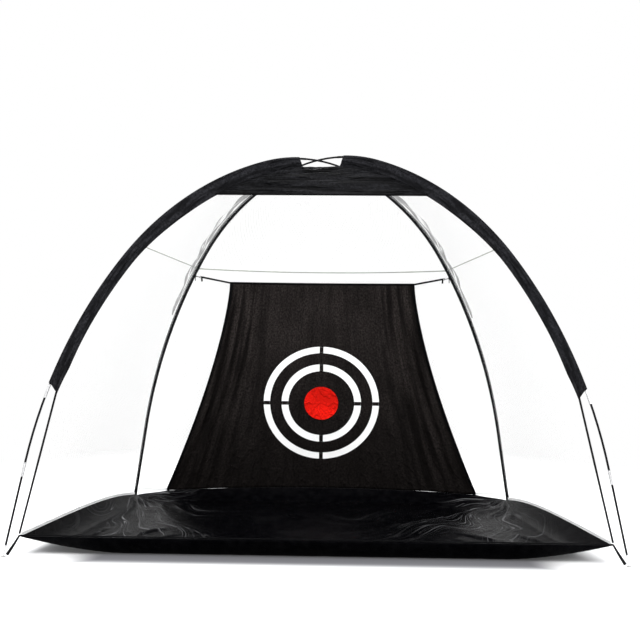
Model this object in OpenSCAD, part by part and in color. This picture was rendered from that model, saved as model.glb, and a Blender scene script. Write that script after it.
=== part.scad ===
// Folding golf chipping net: two crossed shock-corded poles hold a dome of netting over a floor
// tray, with a ring target hung inside it.
// Millimetres. +Z is up, the open front faces -Y, and +X is the right as seen from the front.
// The origin lies on the ground, at the middle of the base.

/* [Overall] */
// Distance between the two front feet
front_span = 2000; // [1680:10:2400]
// Distance between the two rear feet
rear_span = 1600; // [1340:10:1920]
// Distance from the line of the front feet to the line of the rear feet
depth = 1000; // [840:10:1200]
// Height of the lower pole's axis at its summit
summit_h = 1375; // [1150:5:1650]

/* [Poles] */
// Outside diameter of a pole section
pole_d = 7; // [6:0.5:9]
// Bore of a pole section, for the shock cord
pole_bore_d = 3.8; // [3.2:0.1:4.4]
// Number of sections in each pole
pole_sections = 14; // [12:1:16]
// Length of each end section, from the foot to its ferrule's middle
leg_len = 284; // [250:1:300]
// Stretch at each foot that stays straight when the pole is bent
leg_straight = 310; // [305:5:330]
// Bending radius at the crown
crown_r = 570; // [480:10:640]
// Share of the pole's ground run that lies in front of its summit
summit_share = 0.527; // [0.515:0.001:0.54]
// Leans from upright in front: at the foot, after the leg, after the shoulder
front_leans = [12.5, 38, 72]; // [10:0.5:80]
// Leans from upright behind: at the foot, after the leg, after the shoulder
rear_leans = [10.7, 35, 71]; // [8:0.1:80]
// Air between the two poles where they cross
cross_gap = 0.5; // [0.3:0.1:2]
// Diameter of the elastic shock cord
shock_cord_d = 2.5; // [2:0.1:3]

/* [Ferrules and tips] */
// Length of a ferrule
ferrule_len = 46; // [36:1:50]
// Wall of a ferrule
ferrule_wall = 0.7; // [0.5:0.1:1]
// Radial clearance of a pole section in a ferrule
ferrule_fit = 0.1; // [0.05:0.05:0.2]
// Length of the bare metal tip below the pole section
tip_len = 34; // [32:1:40]
// Diameter of the tip's pin
tip_pin_d = 5; // [4:0.5:6]
// Height of the tip's flange
tip_flange_h = 4; // [2:0.5:5]
// Length of the tip's plug inside the pole section
tip_plug_len = 16; // [10:1:25]

/* [Sleeves] */
// Width of a front sleeve, from the pole's axis to its inner seam
front_sleeve_w = 36; // [34:1:60]
// Thickness of the sleeve cloth
sleeve_cloth = 1.2; // [0.8:0.1:2]
// Air between a ferrule and the sleeve around it
sleeve_fit = 0.3; // [0.3:0.1:1]
// Thickness of a front sleeve at its inner seam
sleeve_seam_t = 2; // [1.6:0.2:3]
// Start of a front sleeve, measured along the pole from the foot
front_sleeve_start = 574; // [560:1:640]
// Half of the bare stretch at the crossing, measured along the pole
bare_half = 95; // [70:5:140]
// Bottom end of a rear sleeve, measured along the pole from the rear foot
rear_sleeve_end = 46; // [40:1:80]

/* [Nets] */
// Thickness of the netting
net_t = 1.2; // [1:0.1:2]
// Height of the seam across the rear net
rear_seam_h = 978; // [880:2:1060]
// Height of the side seams at the front sleeves
front_seam_h = 1040; // [940:2:1120]
// Thickness of a seam bead
seam_d = 3; // [2:0.5:4]
// Height of the white hem at the foot of the nets
hem_h = 16; // [10:1:30]
// Thickness of the hem
hem_t = 2; // [1.5:0.5:3]
// Diameter of the edge cord from each front sleeve to the tray
edge_cord_d = 4.4; // [3:0.2:6]

/* [Visor] */
// Height of the visor's lower edge at the front poles' axes
visor_h = 1252; // [1150:1:1300]
// Thickness of the visor cloth
visor_t = 1.2; // [1:0.1:2]
// Depth of the visor's wrinkles
visor_wrinkle = 4; // [0:0.5:6]
// Diameter of the tape in the visor's lower edge
visor_tape_d = 4.4; // [3:0.2:6]

/* [Floor tray] */
// Half width of the tray at its front corners
tray_front_half = 950; // [780:5:1150]
// Gap from the line of the front feet to the front lip
tray_front_gap = 8; // [4:1:20]
// Gap from the line of the rear feet to the rear lip
tray_rear_gap = 15; // [12:1:30]
// Gap from each rear foot to the tray's rear corner, sideways
tray_corner_gap = 14; // [12:1:30]
// Thickness of the tray sheet
tray_t = 1.5; // [1:0.1:2.5]
// Height of the front lip and of the side lips at the front
lip_h = 64; // [40:2:90]
// Height of the rear lip behind the target
rear_lip_h = 39; // [25:1:60]
// Height of the tray's rear corners
rear_corner_h = 10; // [6:1:20]
// How far each lip leans in from its edge to the ground
lip_run = 58; // [40:2:80]
// How far along the tray's edges its front corners are drawn up
corner_reach = 380; // [200:10:500]
// Diameter of the cord in the front lip
lip_cord_d = 4.4; // [3:0.2:6]

/* [Feet] */
// Outside diameter of a front foot ring
ring_d = 16; // [14:1:20]
// Hole of a front foot ring
ring_hole_d = 6.8; // [6.6:0.1:8]
// Thickness of a front foot ring
ring_t = 2.4; // [1.6:0.2:3]
// Strap diameters, at the tray's corner and at the ring
strap_ends_d = [4, 7]; // [3:0.5:8]
// Outside diameter of a rear foot pocket
pocket_d = 15; // [14:0.5:24]
// Height of a rear foot pocket, measured along the pole
pocket_len = 44; // [36:1:46]
// Thickness of a rear pocket's floor
pocket_floor = 1.5; // [1:0.1:3]

/* [Target] */
// Width of the target cloth at the top
target_top_w = 758; // [620:2:900]
// Width of the target cloth at the bottom
target_bottom_w = 1320; // [1100:10:1500]
// Height of the target's top edge above the ground
target_top_h = 918; // [780:2:1000]
// Thickness of the target cloth
target_t = 1.5; // [1:0.1:2.5]
// Depth of the folds at the target's sides
target_fold = 5; // [0:0.5:8]
// Height of the rings' centre, measured up the cloth
bull_h = 383; // [330:1:430]
// Radii of the outer ring
outer_ring_r = [215, 242]; // [190:1:260]
// Radii of the inner ring
inner_ring_r = [138, 167]; // [110:1:180]
// Radius of the red centre
bull_r = 71; // [50:1:90]
// Width of the gaps that cut each ring into four arcs
ring_gap = 16; // [8:1:30]
// Thickness of the rings and of the centre
patch_t = 1; // [0.6:0.1:2]
// Air between the cloth and what is sewn on it
patch_fit = 0.3; // [0.2:0.1:0.5]
// Diameter of the elastic cord that carries the target
hang_cord_d = 5.6; // [3:0.2:7]
// Wall of the top hem round that cord
top_hem_wall = 2; // [1:0.2:3]
// Height of the hang points on the rear poles
hang_h = 948; // [820:2:1040]

/* [Hooks] */
// Wire diameter of a hook
hook_wire_d = 3; // [2:0.2:4]
// Length of a hook's shank, from its bend to its eye
hook_shank = 15; // [12:1:20]
// Length of the arm that goes through the pole's loop
hook_arm = 8; // [5:0.5:10]
// Length of a hook's tail
hook_tail = 19; // [10:1:24]
// Middle radius of the loop on the pole
loop_r = 5; // [4:0.5:7]
// Thickness of the loop on the pole
loop_d = 1.8; // [1.4:0.2:2.4]

/* [Hidden] */
$fn = 48;

// The pole whose front foot is on the left is 0; the other, which crosses over it, is 1.
LEFT = 0;
RIGHT = 1;
pole_r = pole_d / 2;
ferrule_bore_r = pole_r + ferrule_fit;
ferrule_r = ferrule_bore_r + ferrule_wall;
sleeve_bore_r = ferrule_r + sleeve_fit;
sleeve_r = sleeve_bore_r + sleeve_cloth;
NET_COLOR = [0.93, 0.93, 0.92];
SEAM_COLOR = [0.85, 0.86, 0.84];
HEM_COLOR = [0.95, 0.95, 0.94];
CORD_COLOR = "#141414";
POLE_COLOR = "#161616";
SLEEVE_COLOR = "#262629";
// Air between two pole sections in a ferrule, round a seam's bead, and beside a net's edge.
joint_gap = 1;
bead_gap = 0.5;
net_gap = 0.7;
// The ribs that weld a pole's stretches, and how far they stand proud as a scale of the outline.
weld_len = 0.6;
weld_scale = 1.006;
cord_weld_scale = 1.05;
// How far a hole is cut past the solid's ends.
cut_over = 1;

// ---- The poles' path -------------------------------------------------------------------------
// Each pole bends in one upright plane, from its front foot to the opposite rear foot: a straight
// leg, then arcs that meet without a kink, then a straight leg again. A place on it is given by s,
// the distance along the pole from the front foot.
mean_half = (front_span + rear_span) / 2;
ground_run = sqrt(mean_half * mean_half + depth * depth);
dir_x = mean_half / ground_run;
dir_y = depth / ground_run;

function arc_run(a, b) = cos(a) - cos(b);
function arc_rise(a, b) = sin(b) - sin(a);
function arc_len(r, turn) = r * turn * PI / 180;

// The leg's and the shoulder's radii that reach the summit, given the leans and the crown's radius.
function side_radii(leans, run, rise) =
    let (
        u = run - leg_straight * sin(leans[0]) - crown_r * arc_run(leans[2], 90),
        z = rise - leg_straight * cos(leans[0]) - crown_r * arc_rise(leans[2], 90),
        p = arc_run(leans[0], leans[1]),
        q = arc_run(leans[1], leans[2]),
        r = arc_rise(leans[0], leans[1]),
        t = arc_rise(leans[1], leans[2]),
        det = p * t - q * r
    )
    [(u * t - q * z) / det, (p * z - r * u) / det];

function summit(k) = summit_h + k * (pole_d + cross_gap);

// A pole's stretches as [length, turn in degrees].
function make_stretches(k) =
    let (
        f = side_radii(front_leans, summit_share * ground_run, summit(k)),
        b = side_radii(rear_leans, (1 - summit_share) * ground_run, summit(k)),
        f_leg = front_leans[1] - front_leans[0],
        f_shoulder = front_leans[2] - front_leans[1],
        crown = 180 - front_leans[2] - rear_leans[2],
        b_shoulder = rear_leans[2] - rear_leans[1],
        b_leg = rear_leans[1] - rear_leans[0]
    )
    [
        [leg_straight, 0],
        [arc_len(f[0], f_leg), f_leg],
        [arc_len(f[1], f_shoulder), f_shoulder],
        [arc_len(crown_r, crown), crown],
        [arc_len(b[1], b_shoulder), b_shoulder],
        [arc_len(b[0], b_leg), b_leg],
        [leg_straight, 0]
    ];
stretches = [make_stretches(LEFT), make_stretches(RIGHT)];

// A state is [s, ground run, height, heading above the ground in degrees].
function step(st, length, turn) =
    turn == 0
        ? [st[0] + length, st[1] + length * cos(st[3]), st[2] + length * sin(st[3]), st[3]]
        : let (r = length * 180 / (PI * turn), e = st[3] - turn)
          [st[0] + length, st[1] + r * (sin(st[3]) - sin(e)), st[2] + r * (cos(e) - cos(st[3])), e];
function states(k, i, st) =
    i == len(stretches[k]) ? [st]
        : concat([st], states(k, i + 1, step(st, stretches[k][i][0], stretches[k][i][1])));
starts = [
    for (k = [LEFT, RIGHT]) states(k, 0, [0, 0, 0, 90 - front_leans[0]])
];
function pole_len(k) = starts[k][len(stretches[k])][0];
function stretch_at(k, s, i = 0) =
    i == len(stretches[k]) - 1 || s < starts[k][i + 1][0] ? i : stretch_at(k, s, i + 1);
function pole_at(k, s) =
    let (
        i = stretch_at(k, s),
        part = s - starts[k][i][0],
        share = part / stretches[k][i][0]
    )
    step(starts[k][i], part, stretches[k][i][1] * share);

// A point beside a pole: inward is towards the middle of its arch, forward is towards the front.
function side_of(k) = k == LEFT ? 1 : -1;
function pole_point(k, s, inward = 0, forward = 0) =
    let (
        p = pole_at(k, s),
        u = p[1] + inward * sin(p[3]),
        z = p[2] - inward * cos(p[3])
    )
    [
        side_of(k) * (dir_x * u - front_span / 2 + forward * dir_y),
        dir_y * u - depth / 2 - forward * dir_x,
        z
    ];
function pole_heading(k, s) =
    let (e = pole_at(k, s)[3])
    [side_of(k) * dir_x * cos(e), dir_y * cos(e), sin(e)];

// The place on a pole's front or rear half that has a given height.
function front_s(k, z, lo, hi, n = 30) =
    let (m = (lo + hi) / 2)
    n == 0 ? m : pole_at(k, m)[2] < z ? front_s(k, z, m, hi, n - 1) : front_s(k, z, lo, m, n - 1);
function rear_s(k, z, lo, hi, n = 30) =
    let (m = (lo + hi) / 2)
    n == 0 ? m : pole_at(k, m)[2] > z ? rear_s(k, z, m, hi, n - 1) : rear_s(k, z, lo, m, n - 1);

// The place where the poles cross: the same share of both ground runs.
cross_run = ground_run * front_span / (front_span + rear_span);
function run_s(k, u, lo, hi, n = 30) =
    let (m = (lo + hi) / 2)
    n == 0 ? m : pole_at(k, m)[1] < u ? run_s(k, u, m, hi, n - 1) : run_s(k, u, lo, m, n - 1);
cross_s = [for (k = [LEFT, RIGHT]) run_s(k, cross_run, 0, pole_len(k))];
front_end = [for (s = cross_s) s - bare_half];
rear_start = [for (s = cross_s) s + bare_half];
rear_end = [for (k = [LEFT, RIGHT]) pole_len(k) - rear_sleeve_end];

// Puts a shape drawn in a pole's own upright plane (X along the ground, Z up) in its place.
module in_pole_plane(k) {
    mirror([k == LEFT ? 0 : 1, 0, 0])
        translate([-front_span / 2, -depth / 2, 0])
            rotate([0, 0, atan2(dir_y, dir_x)])
                children();
}

// Sweeps a flat outline along a pole between two places. The outline's +X points away from the
// arch's middle, and its +Y towards the front.
module along_pole(k, from, to, weld = weld_scale) {
    in_pole_plane(k)
        for (i = [0:len(stretches[k]) - 1]) {
            a = max(from, starts[k][i][0]);
            b = min(to, starts[k][i + 1][0]);
            if (b - a > 0.01) pole_piece(pole_at(k, a), pole_at(k, b), stretches[k][i]) children();
            if (a > from && a < to) pole_weld(pole_at(k, a), weld) children();
        }
}

// A hair-thin rib that welds two stretches into one solid.
module pole_weld(p, weld) {
    translate([p[1], 0, p[2]])
        rotate([0, 90 - p[3], 0])
            rotate([0, 0, 180])
                linear_extrude(weld_len, center = true)
                    scale(weld) children();
}

module pole_piece(p, q, stretch) {
    if (stretch[1] == 0) {
        translate([p[1], 0, p[2]])
            rotate([0, 90 - p[3], 0])
                rotate([0, 0, 180])
                    linear_extrude(q[0] - p[0]) children();
    } else {
        r = stretch[0] * 180 / (PI * stretch[1]);
        translate([p[1] + r * sin(p[3]), 0, p[2] - r * cos(p[3])])
            rotate([90, 0, 0])
                rotate([0, 0, q[3] + 90])
                    rotate_extrude(angle = p[3] - q[3], $fn = 96)
                        translate([r, 0]) children();
    }
}

// A round pipe along a pole.
module pipe(k, from, to, outer, bore) {
    difference() {
        along_pole(k, from, to) circle(r = outer);
        along_pole(k, from - cut_over, to + cut_over) circle(r = bore);
    }
}

// ---- Shared solids ---------------------------------------------------------------------------
// A round rod between two points.
module rod(p, q, r1, r2 = -1) {
    v = q - p;
    translate(p)
        rotate([0, acos(v[2] / norm(v)), atan2(v[1], v[0])])
            cylinder(h = norm(v), r1 = r1, r2 = r2 < 0 ? r1 : r2);
}

// A ring of round wire that lies flat.
module wire_ring(r, d) {
    rotate_extrude()
        translate([r, 0]) circle(d = d, $fn = 24);
}

// A thin solid over a grid of points, half its thickness on each side.
function grid_normal(g, i, j) =
    let (
        n = len(g) - 1,
        m = len(g[0]) - 1,
        du = g[min(i + 1, n)][j] - g[max(i - 1, 0)][j],
        dv = g[i][min(j + 1, m)] - g[i][max(j - 1, 0)],
        c = cross(du, dv)
    )
    c / norm(c);
function split(a, b, c, d, flip = false) =
    flip ? [[b, c, d], [b, d, a]] : [[a, b, c], [a, c, d]];
// A closed solid between two grids of points. creased turns the diagonals towards the corners.
module shell(top, bottom, creased = false) {
    n = len(top);
    m = len(top[0]);
    function at(side, i, j) = side * n * m + i * m + j;
    function flip(i, j) = creased && (i < (n - 1) / 2) == (j >= (m - 1) / 2);
    skins = [
        for (i = [0:n - 2]) for (j = [0:m - 2]) each concat(
            split(at(0, i, j), at(0, i, j + 1), at(0, i + 1, j + 1), at(0, i + 1, j), flip(i, j)),
            split(at(1, i, j), at(1, i + 1, j), at(1, i + 1, j + 1), at(1, i, j + 1), flip(i, j))
        )
    ];
    long_walls = [
        for (i = [0:n - 2]) each concat(
            split(at(0, i, 0), at(0, i + 1, 0), at(1, i + 1, 0), at(1, i, 0)),
            split(at(0, i + 1, m - 1), at(0, i, m - 1), at(1, i, m - 1), at(1, i + 1, m - 1))
        )
    ];
    end_walls = [
        for (j = [0:m - 2]) each concat(
            split(at(0, 0, j + 1), at(0, 0, j), at(1, 0, j), at(1, 0, j + 1)),
            split(at(0, n - 1, j), at(0, n - 1, j + 1), at(1, n - 1, j + 1), at(1, n - 1, j))
        )
    ];
    polyhedron(
        concat([for (row = top) each row], [for (row = bottom) each row]),
        concat(skins, long_walls, end_walls)
    );
}
module sheet_solid(g, t) {
    function moved(way) = [
        for (i = [0:len(g) - 1]) [
            for (j = [0:len(g[0]) - 1]) g[i][j] + way * t / 2 * grid_normal(g, i, j)
        ]
    ];
    shell(moved(1), moved(-1));
}
function mix(a, b, t) = a + (b - a) * t;
function mirrored(p, side) = [side * p[0], p[1], p[2]];

// ---- Poles -----------------------------------------------------------------------------------
function joint_s(k, j) = mix(leg_len, pole_len(k) - leg_len, (j - 1) / (pole_sections - 2));

module pole_sections_of(k) {
    color(POLE_COLOR)
        for (j = [1:pole_sections - 2])
            pipe(k, joint_s(k, j) + joint_gap / 2, joint_s(k, j + 1) - joint_gap / 2,
                pole_r, pole_bore_d / 2);
}

module ferrules_of(k) {
    color("silver")
        for (j = [1:pole_sections - 1])
            pipe(k, joint_s(k, j) - ferrule_len / 2, joint_s(k, j) + ferrule_len / 2,
                ferrule_r, ferrule_bore_r);
}

tube_start = tip_len + tip_flange_h;
tip_flange_overhang = 0.4;
tip_flange_r = pole_r + tip_flange_overhang;
tip_rest_gap = 0.2;
plug_fit = 0.05;
module leg(k, at_rear) {
    from = at_rear ? pole_len(k) - leg_len + joint_gap / 2 : tube_start;
    to = at_rear ? pole_len(k) - tube_start : leg_len - joint_gap / 2;
    color(POLE_COLOR)
        pipe(k, from, to, pole_r, pole_bore_d / 2);
}

// A turned metal tip: a round-ended pin, a flange under the tube, and a plug inside it.
module tip(k, at_rear) {
    foot_s = at_rear ? pole_len(k) : 0;
    up = at_rear ? -1 : 1;
    lean = at_rear ? rear_leans[0] : front_leans[0];
    ball_s = at_rear ? pocket_bore_start + tip_pin_d / 2 + tip_rest_gap : tip_pin_d / 2 / cos(lean);
    plug_r = pole_bore_d / 2 - plug_fit;
    function on_leg(d) = pole_point(k, foot_s + up * d);
    color("silver") {
        translate(on_leg(ball_s)) sphere(d = tip_pin_d);
        rod(on_leg(ball_s), on_leg(tip_len + tip_flange_h / 3), tip_pin_d / 2);
        rod(on_leg(tip_len), on_leg(tube_start), tip_flange_r);
        rod(on_leg(tip_len + tip_flange_h / 2), on_leg(tube_start + tip_plug_len), plug_r);
    }
}

module shock_cord(k) {
    end = tube_start + tip_plug_len + bead_gap;
    color("#303030")
        along_pole(k, end, pole_len(k) - end, cord_weld_scale) circle(d = shock_cord_d);
}

// ---- Sleeves ---------------------------------------------------------------------------------
// A flattened cloth tunnel: the pole bears on its outer fold, and its seam lies inward.
module front_sleeve(k) {
    color(SLEEVE_COLOR)
        difference() {
            along_pole(k, front_sleeve_start, front_end[k]) {
                circle(r = sleeve_r);
                polygon([
                    [0, sleeve_r],
                    [-front_sleeve_w, sleeve_seam_t / 2],
                    [-front_sleeve_w, -sleeve_seam_t / 2],
                    [0, -sleeve_r]
                ]);
            }
            along_pole(k, front_sleeve_start - cut_over, front_end[k] + cut_over)
                circle(r = sleeve_bore_r);
        }
}

module rear_sleeve(k) {
    color(SLEEVE_COLOR)
        pipe(k, rear_start[k], rear_end[k], sleeve_r, sleeve_bore_r);
}

// ---- Where cloth meets the sleeves -----------------------------------------------------------
net_inset = front_sleeve_w + net_t / 2 + net_gap;
seam_offset = sleeve_seam_t / 2 + bead_gap;
// The nets meet the front sleeves' seams from behind, and the visor from in front.
function net_front(k, s) = pole_point(k, s, net_inset, -seam_offset);
function visor_edge(k, s) = pole_point(k, s, net_inset, seam_offset);
// The point on a rear sleeve's surface that faces a given point.
function rear_face(k, s, to, gap) =
    let (
        c = pole_point(k, s),
        h = pole_heading(k, s),
        v = to - c,
        w = v - (v * h) * h
    )
    c + (sleeve_r + gap) * w / norm(w);

// ---- Floor tray ------------------------------------------------------------------------------
tray_front_y = -depth / 2 + tray_front_gap;
tray_rear_y = depth / 2 - tray_rear_gap;
tray_rear_half = rear_span / 2 - tray_corner_gap;
function tray_half(v) = mix(tray_front_half, tray_rear_half, v);
// Powers that shape the side lips' height towards the rear, and each lip's slope.
side_fade = 4;
lip_curve = 1.5;
function side_lip(v) = mix(lip_h, rear_corner_h, pow(v, side_fade));
function rear_lip(x) =
    let (reach = tray_rear_half - target_bottom_w / 2)
    mix(rear_corner_h, rear_lip_h, min(1, max(0, (tray_rear_half - abs(x)) / reach)));
function lift(edge, away) = edge * pow(max(0, 1 - away / lip_run), lip_curve);
function tray_point(u, v) =
    let (
        x = u * tray_half(v),
        y = mix(tray_front_y, tray_rear_y, v),
        front = lift(lip_h, y - tray_front_y),
        side = lift(side_lip(v), tray_half(v) - abs(x)),
        rear = lift(rear_lip(x), tray_rear_y - y),
        from_corner = tray_half(v) - abs(x) + y - tray_front_y,
        corner = lip_h * pow(max(0, 1 - from_corner / corner_reach), lip_curve)
    )
    [x, y, max(front, side, rear, corner)];
tray_half_u = [0, 0.3, 0.6, 0.72, 0.84, 0.9, 0.94, 0.965, 0.985, 1];
tray_u = concat([for (i = [len(tray_half_u) - 1:-1:1]) -tray_half_u[i]], tray_half_u);
tray_v = [0, 0.015, 0.035, 0.06, 0.14, 0.25, 0.37, 0.5, 0.7, 0.85, 0.94, 0.965, 0.985, 1];

module floor_tray() {
    function grid(up) = [for (u = tray_u) [for (v = tray_v) tray_point(u, v) + [0, 0, up]]];
    color("#15171d") shell(grid(tray_t), grid(0), true);
}

corner_z = lip_h + tray_t + lip_cord_d / 2 + net_gap;
function tray_corner(side) = [side * tray_front_half, tray_front_y, corner_z];
module front_lip_cord() {
    color(CORD_COLOR)
        rod(tray_corner(-1), tray_corner(1), lip_cord_d / 2);
}

// ---- Edge cords, straps and feet -------------------------------------------------------------
cord_inset = 2;
function cord_top(k) =
    pole_point(k, front_sleeve_start - edge_cord_d / 2 - bead_gap, front_sleeve_w - cord_inset);
function cord_foot(k) =
    tray_corner(-side_of(k)) + [0, 0, lip_cord_d / 2 + edge_cord_d / 2 + bead_gap];
module edge_cord(k) {
    color(CORD_COLOR)
        rod(cord_foot(k), cord_top(k), edge_cord_d / 2);
}

function foot_ring_centre(k) = pole_point(k, ring_t / 2 / cos(front_leans[0]));
module foot_ring(k) {
    c = foot_ring_centre(k);
    color("#b9b9b9")
        translate([c[0], c[1], 0])
            difference() {
                cylinder(h = ring_t, d = ring_d);
                translate([0, 0, -cut_over]) cylinder(h = ring_t + 2 * cut_over, d = ring_hole_d);
            }
}

// An elastic strap from the tray's corner, down and out to the foot ring. Its end stays clear of
// the tip, and its axis there is a share of its own diameter above the ring.
strap_clear = 1.5;
strap_end_rise = 0.4;
module strap(k) {
    c = foot_ring_centre(k);
    corner = tray_corner(-side_of(k));
    away = [-side_of(k), 0, 0];
    top = corner + away * (strap_ends_d[0] / 2 + bead_gap);
    clear = tip_flange_r + strap_ends_d[1] / 2 + strap_clear;
    bottom = [c[0] + side_of(k) * clear, c[1], ring_t + strap_end_rise * strap_ends_d[1]];
    color(CORD_COLOR)
        rod(top, bottom, strap_ends_d[0] / 2, strap_ends_d[1] / 2);
}

// A cloth cup that holds a rear tip, cut flat on the ground.
pocket_bore_r = tip_flange_r + sleeve_fit;
pocket_bore_start = (pocket_floor + pocket_bore_r * sin(rear_leans[0])) / cos(rear_leans[0]);
module rear_pocket(k) {
    end = pole_len(k);
    top = pole_point(k, end - pocket_len);
    foot = pole_point(k, end);
    along = (top - foot) / norm(top - foot);
    color("#1c1c1f")
        difference() {
            rod(foot - along * pocket_d, top, pocket_d / 2);
            rod(foot + along * pocket_bore_start, top + along, pocket_bore_r);
            translate(foot - [pocket_d, pocket_d, 2 * pocket_d])
                cube([2 * pocket_d, 2 * pocket_d, 2 * pocket_d]);
        }
}

// ---- Nets ------------------------------------------------------------------------------------
// Seam heights on each pole, and the nets' first and last places along the sleeves.
front_seam_s = [for (k = [LEFT, RIGHT]) front_s(k, front_seam_h, 0, front_end[k])];
rear_seam_s = [for (k = [LEFT, RIGHT]) rear_s(k, rear_seam_h, rear_start[k], pole_len(k))];
seam_half = seam_d / 2 + bead_gap;
hem_v = [for (v = tray_v) if (v > 0.01 && v < 0.97) v];
hem_start = hem_v[0];
hem_end = hem_v[len(hem_v) - 1];
rows_upper = 18;
rows_lower = 16;
// Share of the lower rows that start on the edge cord.
cord_share = 0.45;
// How far the lower nets keep from the front sleeve's end and pass the rear sleeves' ends.
net_start_gap = 3;
side_net_overrun = 6;
rear_net_overrun = 4;

// The line that the side hems stand on, just above the tray's side lips.
function hem_line(side, v) =
    let (p = tray_point(side, v))
    p + [0, 0, tray_t + bead_gap];

// Rear pole of each side: the left net's rear edge is on the right pole, and the other way round.
function other(k) = 1 - k;

function side_upper_row(k, t) =
    let (
        b = other(k),
        f = net_front(k, mix(front_seam_s[k] + seam_half, front_end[k], t)),
        s = mix(rear_seam_s[b] - seam_half, rear_start[b], t),
        r = rear_face(b, s, f, net_gap)
    )
    [f, r];

module side_net_upper(k) {
    rows = [for (i = [0:rows_upper]) side_upper_row(k, i / rows_upper)];
    color(NET_COLOR) sheet_solid(rows, net_t);
}

// Lower rows run from the edge cord and the front sleeve back to the rear sleeve. The lowest
// follows the hem, and the ones above it straighten out.
function lower_front(k, t) =
    let (behind = [0, edge_cord_d / 2 + net_gap, 0])
    t < cord_share
        ? mix(
            hem_line(-side_of(k), hem_start) + [0, 0, hem_h + bead_gap],
            cord_top(k) + behind,
            t / cord_share
        )
        : net_front(k, mix(
            front_sleeve_start + net_start_gap,
            front_seam_s[k] - seam_half,
            (t - cord_share) / (1 - cord_share)
        ));
function lower_rear(k, t, f) =
    let (b = other(k))
    rear_face(b, mix(rear_end[b] - side_net_overrun, rear_seam_s[b] + seam_half, t), f, net_gap);
function lower_point(k, t, v) =
    let (
        c = (v - hem_start) / (hem_end - hem_start),
        f = lower_front(k, t),
        r = lower_rear(k, t, f),
        hem = hem_line(-side_of(k), v) + [0, 0, hem_h + bead_gap],
        bottom_f = lower_front(k, 0),
        bottom_r = lower_rear(k, 0, bottom_f),
        drop = c < 1 ? hem - mix(bottom_f, bottom_r, c) : [0, 0, 0]
    )
    mix(f, r, c) + drop * pow(1 - t, 3);

module side_net_lower(k) {
    grid = [
        for (i = [0:rows_lower]) [for (v = hem_v) lower_point(k, i / rows_lower, v)]
    ];
    color(NET_COLOR) sheet_solid(grid, net_t);
}

module side_net_seam(k) {
    b = other(k);
    f = net_front(k, front_seam_s[k]);
    r = rear_face(b, rear_seam_s[b], f, net_gap);
    color(SEAM_COLOR) rod(f, r, seam_d / 2);
}

module side_net_hem(k) {
    grid = [
        for (v = hem_v) [for (z = [0, hem_h]) hem_line(-side_of(k), v) + [0, 0, z]]
    ];
    color(HEM_COLOR) sheet_solid(grid, hem_t);
}

function rear_row(s_left, s_right) =
    let (
        l = pole_point(RIGHT, s_left),
        r = pole_point(LEFT, s_right)
    )
    [rear_face(RIGHT, s_left, r, net_gap), rear_face(LEFT, s_right, l, net_gap)];
module rear_net_upper() {
    rows = [
        for (i = [0:rows_upper]) rear_row(
            mix(rear_seam_s[RIGHT] - seam_half, rear_start[RIGHT], i / rows_upper),
            mix(rear_seam_s[LEFT] - seam_half, rear_start[LEFT], i / rows_upper)
        )
    ];
    color(NET_COLOR) sheet_solid(rows, net_t);
}
module rear_net_lower() {
    rows = [
        for (i = [0:rows_lower]) rear_row(
            mix(rear_end[RIGHT] - rear_net_overrun, rear_seam_s[RIGHT] + seam_half, i / rows_lower),
            mix(rear_end[LEFT] - rear_net_overrun, rear_seam_s[LEFT] + seam_half, i / rows_lower)
        )
    ];
    color(NET_COLOR) sheet_solid(rows, net_t);
}
module rear_net_seam() {
    row = rear_row(rear_seam_s[RIGHT], rear_seam_s[LEFT]);
    color(SEAM_COLOR) rod(row[0], row[1], seam_d / 2);
}
module rear_net_hem() {
    row = rear_row(rear_end[RIGHT] - rear_net_overrun, rear_end[LEFT] - rear_net_overrun);
    top = min(row[0][2], row[1][2]) - bead_gap;
    y = (row[0][1] + row[1][1]) / 2;
    bottom = top - hem_h;
    reach = rear_span / 2 - pocket_d / 2 - bead_gap - (top * tan(rear_leans[0])) * dir_x;
    color(HEM_COLOR)
        translate([-reach, y - hem_t / 2, bottom]) cube([2 * reach, hem_t, hem_h]);
}

// The small piece of net under the crossing.
module top_net() {
    inset = 1.2;
    drop = 0.8 * net_t;
    fl = net_front(LEFT, front_end[LEFT]);
    fr = net_front(RIGHT, front_end[RIGHT]);
    rl = rear_face(RIGHT, rear_start[RIGHT], fl, net_gap);
    rr = rear_face(LEFT, rear_start[LEFT], fr, net_gap);
    middle = (fl + fr + rl + rr) / 4;
    function tuck(p) = p + (middle - p) / norm(middle - p) * inset - [0, 0, drop];
    color(NET_COLOR)
        sheet_solid([[tuck(fl), tuck(fr)], [tuck(rl), tuck(rr)]], net_t);
}

// ---- Visor -----------------------------------------------------------------------------------
visor_rows = 12;
visor_columns = 16;
visor_s = [for (k = [LEFT, RIGHT]) front_s(k, visor_h, 0, front_end[k])];
visor_slant = pole_heading(LEFT, visor_s[LEFT])[0];
visor_start = (visor_tape_d / 2 + bead_gap) / sqrt(1 - visor_slant * visor_slant);
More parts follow.
